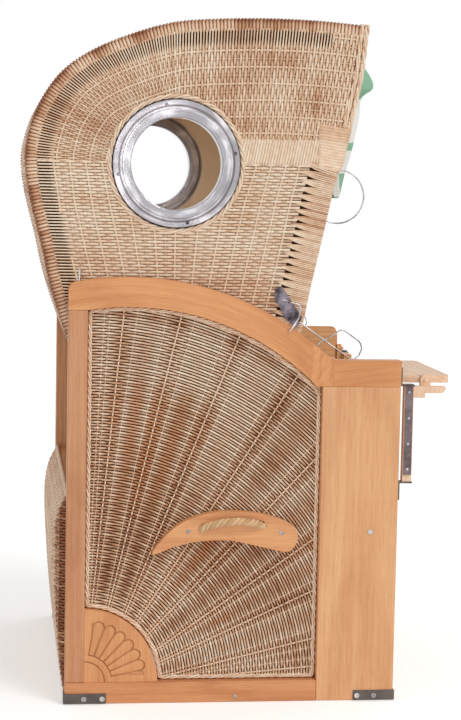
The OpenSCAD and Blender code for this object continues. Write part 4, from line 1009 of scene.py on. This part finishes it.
def rope_grip(s):
    """An arch of laid rope between the two holes of a carry handle."""
    rear_at, front_at = np.array([0.0875, 0.408]), np.array([-0.0695, 0.417])
    v = rear_at - front_at
    half, out, lift, exit_x = np.linalg.norm(v) / 2, 0.0445, math.radians(34), 0.445
    r = (half ** 2 + out ** 2) / (2 * out)
    a, b = math.asin(half / r), math.atan2(v[1], v[0])
    t = np.linspace(-a, a, 90)
    reach, along = out - r + r * np.cos(t), r * np.sin(t)
    rise = reach * math.sin(lift)
    p = points(reach * math.cos(lift), along * math.cos(b) - rise * math.sin(b),
               along * math.sin(b) + rise * math.cos(b))
    p += [exit_x, *((rear_at + front_at) / 2)]
    stub = np.linspace(0.428, exit_x - 0.002, 8)
    p = np.concatenate([points(stub, *p[0, 1:]), p, points(stub[::-1], *p[-1, 1:])])
    p[:, 0] *= s
    path = dense(p, 0.0016)
    for _ in range(6):
        path[1:-1] = (path[:-2] + path[1:-1] * 2 + path[2:]) / 4
    st = Strands()
    strands = [lin(244, 206, 158), lin(230, 190, 140), lin(250, 216, 170)]
    twist(st, path, (0, 0.3, 0.95), 0.0195, 0.038, strands, sides=9)
    st.build("laid_rope_" + SIDE[s], "base", [ROPE, PAINTED_GAP_SHADE], ["rope_grip_" + SIDE[s]], "rope")


# ---- awning, linings and cushions
def awning():
    """Striped cloth from the roof's edge, with two soft folds, down to the bow and sewn round it."""
    line = Line([[-275.3, 1550], [-284, 1515], [-300, 1494], [-318, 1466], [-318, 1446], [-293, 1425], [-289, 1383],
                 [-278, 1325], [-270, 1290], [-258, 1249], [-247, 1200], [-243.5, 1191.5], [-235.7, 1188.5],
                 [-227, 1191.5], [-224.5, 1200], [-223, 1222], [-221.5, 1245]], 6)
    rows, columns = 190, 90
    steps = np.linspace(0, line.length, rows)
    x = np.linspace(-0.349, 0.349, columns)
    p, u = line.at(steps), (steps / line.length)[:, None]
    hanging = np.interp(p[:, :1], [-0.246, -0.24], [1, 0])
    fold = 0.0018 * np.sin(x * 46)[None] * np.sin(u * np.pi) + 0.0012 * np.sin(x * 120 + 1.3)[None] * u
    z = p[:, 1]
    green = ((z < 1.496) & (z > 1.425)) | ((z < 1.32) & (z > 1.303)) | (z < 1.249)
    colours = np.where(green[:, None], lin(150, 196, 168), lin(250, 250, 246))
    st = Strands()
    st.sheet(points(x, p[:, :1] + fold * hanging + 0.0012 * hanging, p[:, 1:]), np.repeat(colours, columns, 0), slot=0)
    obj = st.build("striped_awning", None, [CANVAS], slot_name="awning_fabric")
    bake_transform(obj)
    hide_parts("awning_cloth")


def lining(s):
    node = nodes["side_lining_" + SIDE[s]]
    obj = copy_faces(node, "lining_" + SIDE[s], lambda n: n.x * s < -0.9, 0.0004 * s)
    register(obj, "hood", [LINING], [node.name])


def back_lining():
    s = np.linspace(0.03, HOOD_LOW, 160)
    x = np.linspace(-0.3675, 0.3675, 60)
    deep = 0.0285 + 0.0016 * np.cos(x * 2 * np.pi / 0.147)
    p, n = hood_line.at(s), hood_line.right(s)
    st = Strands()
    st.sheet(points(x, p[:, :1] + n[:, :1] * deep, p[:, 1:] + n[:, 1:] * deep), slot=0)
    obj = st.build("lining_back", "hood", [LINING], ["back_lining"], "lining_fabric")


def blow_up(obj, rest):
    """Where the vertices of a cushion's shape stand once it is blown up as cloth, at most 12 mm out."""
    frames_run, most = 16, 0.012
    cloth_mod = obj.modifiers.new("cloth", "CLOTH")
    cloth_mod.settings.use_pressure = True
    cloth_mod.settings.uniform_pressure_force = 4
    cloth_mod.settings.effector_weights.gravity = 0
    cloth_mod.settings.quality = 4
    cloth_mod.collision_settings.use_collision = False
    cloth_mod.point_cache.frame_start, cloth_mod.point_cache.frame_end = 1, frames_run
    for frame_no in range(1, frames_run + 1):
        scene.frame_set(frame_no)
    bpy.ops.object.modifier_apply(modifier="cloth")
    scene.frame_set(1)
    move = np.array([v.co for v in obj.data.vertices]) - rest
    size = np.linalg.norm(move, axis=1)[:, None] + 1e-9
    return rest + move * np.minimum(1, most / size)


def cushion(node, name, body, place, width, depth, thick, channels):
    """A padded cushion from a slightly smaller shape of its CAD solid, blown up as cloth, then sewn across."""
    mesh = nodes[node].data.copy()
    mesh.transform(place.inverted())
    obj = link(name, mesh)
    bpy.context.view_layer.objects.active = obj
    for o in bpy.context.selected_objects:
        o.select_set(False)
    obj.select_set(True)
    mid = np.array([0, 0, thick / 2])
    co = (np.array([v.co for v in mesh.vertices]) - mid) * [1 - 0.016 / width, 1 - 0.016 / depth, 0.93] + mid
    mesh.vertices.foreach_set("co", co.astype(np.float32).ravel())
    remesh = obj.modifiers.new("remesh", "REMESH")
    remesh.mode, remesh.voxel_size = "VOXEL", 0.0075
    bpy.ops.object.modifier_apply(modifier="remesh")
    rest = np.array([v.co for v in obj.data.vertices])
    now = blow_up(obj, rest)
    # sewn channels, with small puckers along each seam
    lines = depth * (np.arange(1, channels) / channels - 0.5)
    near = np.abs(now[:, 1:2] - lines[None]).min(1)
    inner = np.clip((width / 2 - 0.03 - np.abs(now[:, 0])) / 0.05, 0, 1)
    side = np.sign(now[:, 2] - thick / 2)
    valley = (0.01 * np.exp(-(near / 0.009) ** 2) + 0.004 * np.exp(-(near / 0.028) ** 2)) * inner
    pucker = 0.0012 * np.sin(now[:, 0] * 260 + 3 * np.sin(now[:, 1] * 31)) * np.exp(-(near / 0.02) ** 2) * inner
    slack = 0.0022 * (patches(now[:, 0], now[:, 1], 61, 0.05, 0.035) - 0.5) * inner
    now[:, 2] -= side * (valley + pucker + slack)
    now[:, 2] = np.maximum(now[:, 2], 0.0004)
    obj.data.vertices.foreach_set("co", now.astype(np.float32).ravel())
    obj.data.update()
    sub = obj.modifiers.new("smooth", "SUBSURF")
    sub.levels = sub.render_levels = 1
    bpy.ops.object.modifier_apply(modifier="smooth")
    obj.data.polygons.foreach_set("use_smooth", np.ones(len(obj.data.polygons), bool))
    obj.data.transform(place)
    register(obj, body, [CUSHION], [node])
    # piping round the middle seam
    a = np.linspace(0, 2 * np.pi, 240, endpoint=False)

    def squared(v):
        return np.sign(v) * np.abs(v) ** 0.12

    edge = points((width / 2 - 0.004) * squared(np.cos(a)), (depth / 2 - 0.004) * squared(np.sin(a)), thick / 2)
    edge[:, 0] *= 1 - 0.015 * np.cos(edge[:, 1] / depth * np.pi)
    edge[:, 1] *= 1 - 0.015 * np.cos(edge[:, 0] / width * np.pi)
    st = Strands()
    path = [list(place @ Vector(q)) for q in dense(np.concatenate([edge, edge[:1]]), 0.006)]
    st.tube(path, tuple(place.to_3x3() @ Vector((0, 0, 1))), 0.0034, (1, 1, 1), 8)
    st.build(name + "_piping", body, [PIPING], slot_name="cushion_fabric")


# ---- the CAD nodes that stay
def soften(node, material, width=0.0015, segments=2):
    """Gives a CAD node its material and smooth shading, with bevelled edges if width isn't 0."""
    obj = nodes[node]
    obj.data.materials.clear()
    obj.data.materials.append(material)
    for p in obj.data.polygons:
        p.material_index = 0
    obj.modifiers.new("weld", "WELD").merge_threshold = 0.00002
    if width:
        flat = obj.modifiers.new("flat", "DECIMATE")
        flat.decimate_type, flat.angle_limit = "DISSOLVE", math.radians(0.6)
        bevel = obj.modifiers.new("bevel", "BEVEL")
        bevel.width, bevel.segments, bevel.limit_method = width, segments, "ANGLE"
        bevel.angle_limit = math.radians(32)
        bevel.harden_normals, bevel.use_clamp_overlap = False, True
    obj.data.polygons.foreach_set("use_smooth", np.ones(len(obj.data.polygons), bool))
    split = obj.modifiers.new("normals", "WEIGHTED_NORMAL")
    split.keep_sharp, split.weight = True, 80


# names, where * stands for each side, with their material, bevel width and segments
for names, material, *bevelled in (
        ("rear_post_*", POST_WOOD, 0.003, 3), ("front_board_*", BOARD_WOOD, 0.003, 3),
        ("top_rail_*", RAIL_WOOD, 0.0035, 3), ("carry_handle_*", HANDLE_WOOD, 0.005, 4), ("seat_rail_*", LONG_WOOD),
        ("footrest_*", CROSS_WOOD, 0.002, 3), ("hood_frame_*", POST_WOOD), ("porthole_*", RING_METAL, 0.0007),
        ("footrest_pull_* latch_lever_* wire_bail_* towel_ring", STEEL, 0),
        ("side_table_right", TABLE_WOOD, 0.002, 3), ("side_table_left", STOWED_WOOD, 0.002, 3),
        ("table_leaf_right", LEAF_WOOD, 0.003, 3), ("table_leaf_left", STOWED_WOOD, 0.003, 3),
        ("bottom_rails", LONG_WOOD, 0.003), ("centre_divider", LONG_WOOD, 0.002), ("seat_slats", CROSS_WOOD, 0.003),
        ("drawer_runners", LONG_WOOD, 0.0012), ("cross_rails hood_cross_bars backrest_board", CROSS_WOOD, 0.002),
        ("corner_plates", PLATE, 0.0008), ("table_brackets", PLATE, 0.0006), ("frame_bolts", STEEL, 0.0012),
        ("pivot_pins rear_stop_pins", STEEL, 0.0008), ("porthole_inner_rings", RING_METAL, 0.0006),
        ("hood_fittings", LATCH, 0.0006), ("awning_bow", WHITE_PAINT, 0.0008)):
    for name in names.split():
        for side_name in SIDE.values() if "*" in name else ("",):
            soften(name.replace("*", side_name), material, *bevelled)
# the sides of a footrest box have their grain lengthwise
for side_name in SIDE.values():
    box_mesh = nodes["footrest_" + side_name].data
    box_mesh.materials.append(LONG_WOOD)
    for face in box_mesh.polygons:
        face.material_index = int(abs(face.normal.x) > 0.7)

for s in SIDE:
    side_panel(s)
    hood_side(s)
    footrest_weave(s)
    carved_shell(s)
    table_strap(s)
    rope_grip(s)
    lining(s)
hood_roof()
rear_weave()
back_lining()
awning()
seat_at = Matrix.Translation((0, -0.1515, 0.3633))
cushion("seat_cushion", "padded_seat", "base", seat_at, 0.764, 0.453, 0.096, 4)
lean = Matrix(((1, 0, 0, 0), (0, 0.1922, -0.9814, 0.18), (0, 0.9814, 0.1922, 0.446), (0, 0, 0, 1)))
back_at = lean @ Matrix.Translation((0, 0.3384, 0.0003))
cushion("back_cushion", "padded_back", "hood", back_at, 0.718, 0.6568, 0.08, 5)

# ---- floor, light and background
SKY, KEY, FILL, LOW, LIFT = 0.55, 0.85, 0.25, 0.42, 0.32
floor_mesh = bpy.data.meshes.new("floor")
bm = bmesh.new()
bmesh.ops.create_grid(bm, x_segments=2, y_segments=2, size=14)
bm.to_mesh(floor_mesh)
bm.free()
floor = link("floor", floor_mesh)
floor.location.z = -0.0004
m = Mat("floor", rough=0.9, spec=0.1)
m.feed(m.bsdf.inputs["Base Color"],
       m.ramp(m.noise(m.coord, 30, 2), (0.3, lin(253, 253, 253)), (0.7, lin(255, 255, 255))))
m.feed(m.bsdf.inputs["Emission Strength"], m.seen() * LIFT)
m.feed(m.bsdf.inputs["Emission Color"], (1, 1, 1))
floor_mesh.materials.append(m.m)

world = bpy.data.worlds.new("studio")
scene.world = world
world.use_nodes = True
sky, background = Nodes(world.node_tree), world.node_tree.nodes["Background"]
sky.feed(background.inputs["Strength"], sky.new("Mix", {0: sky.seen(), 2: SKY, 3: 1.0}, data_type="FLOAT"))
sky.feed(background.inputs["Color"], (1, 1, 1))

for name, direction, strength, angle in (("key", (-0.62, -0.5, 0.72), KEY, 0.5), ("fill", (0.5, -0.7, 0.5), FILL, 0.9),
                                         ("low", (-0.97, 0.12, 0.1), LOW, 0.3)):
    lamp = bpy.data.lights.new(name, "SUN")
    lamp.energy, lamp.angle = strength, angle
    link(name, lamp).rotation_euler = Vector(direction).to_track_quat("Z", "Y").to_euler()

scene.view_settings.view_transform = "Standard"
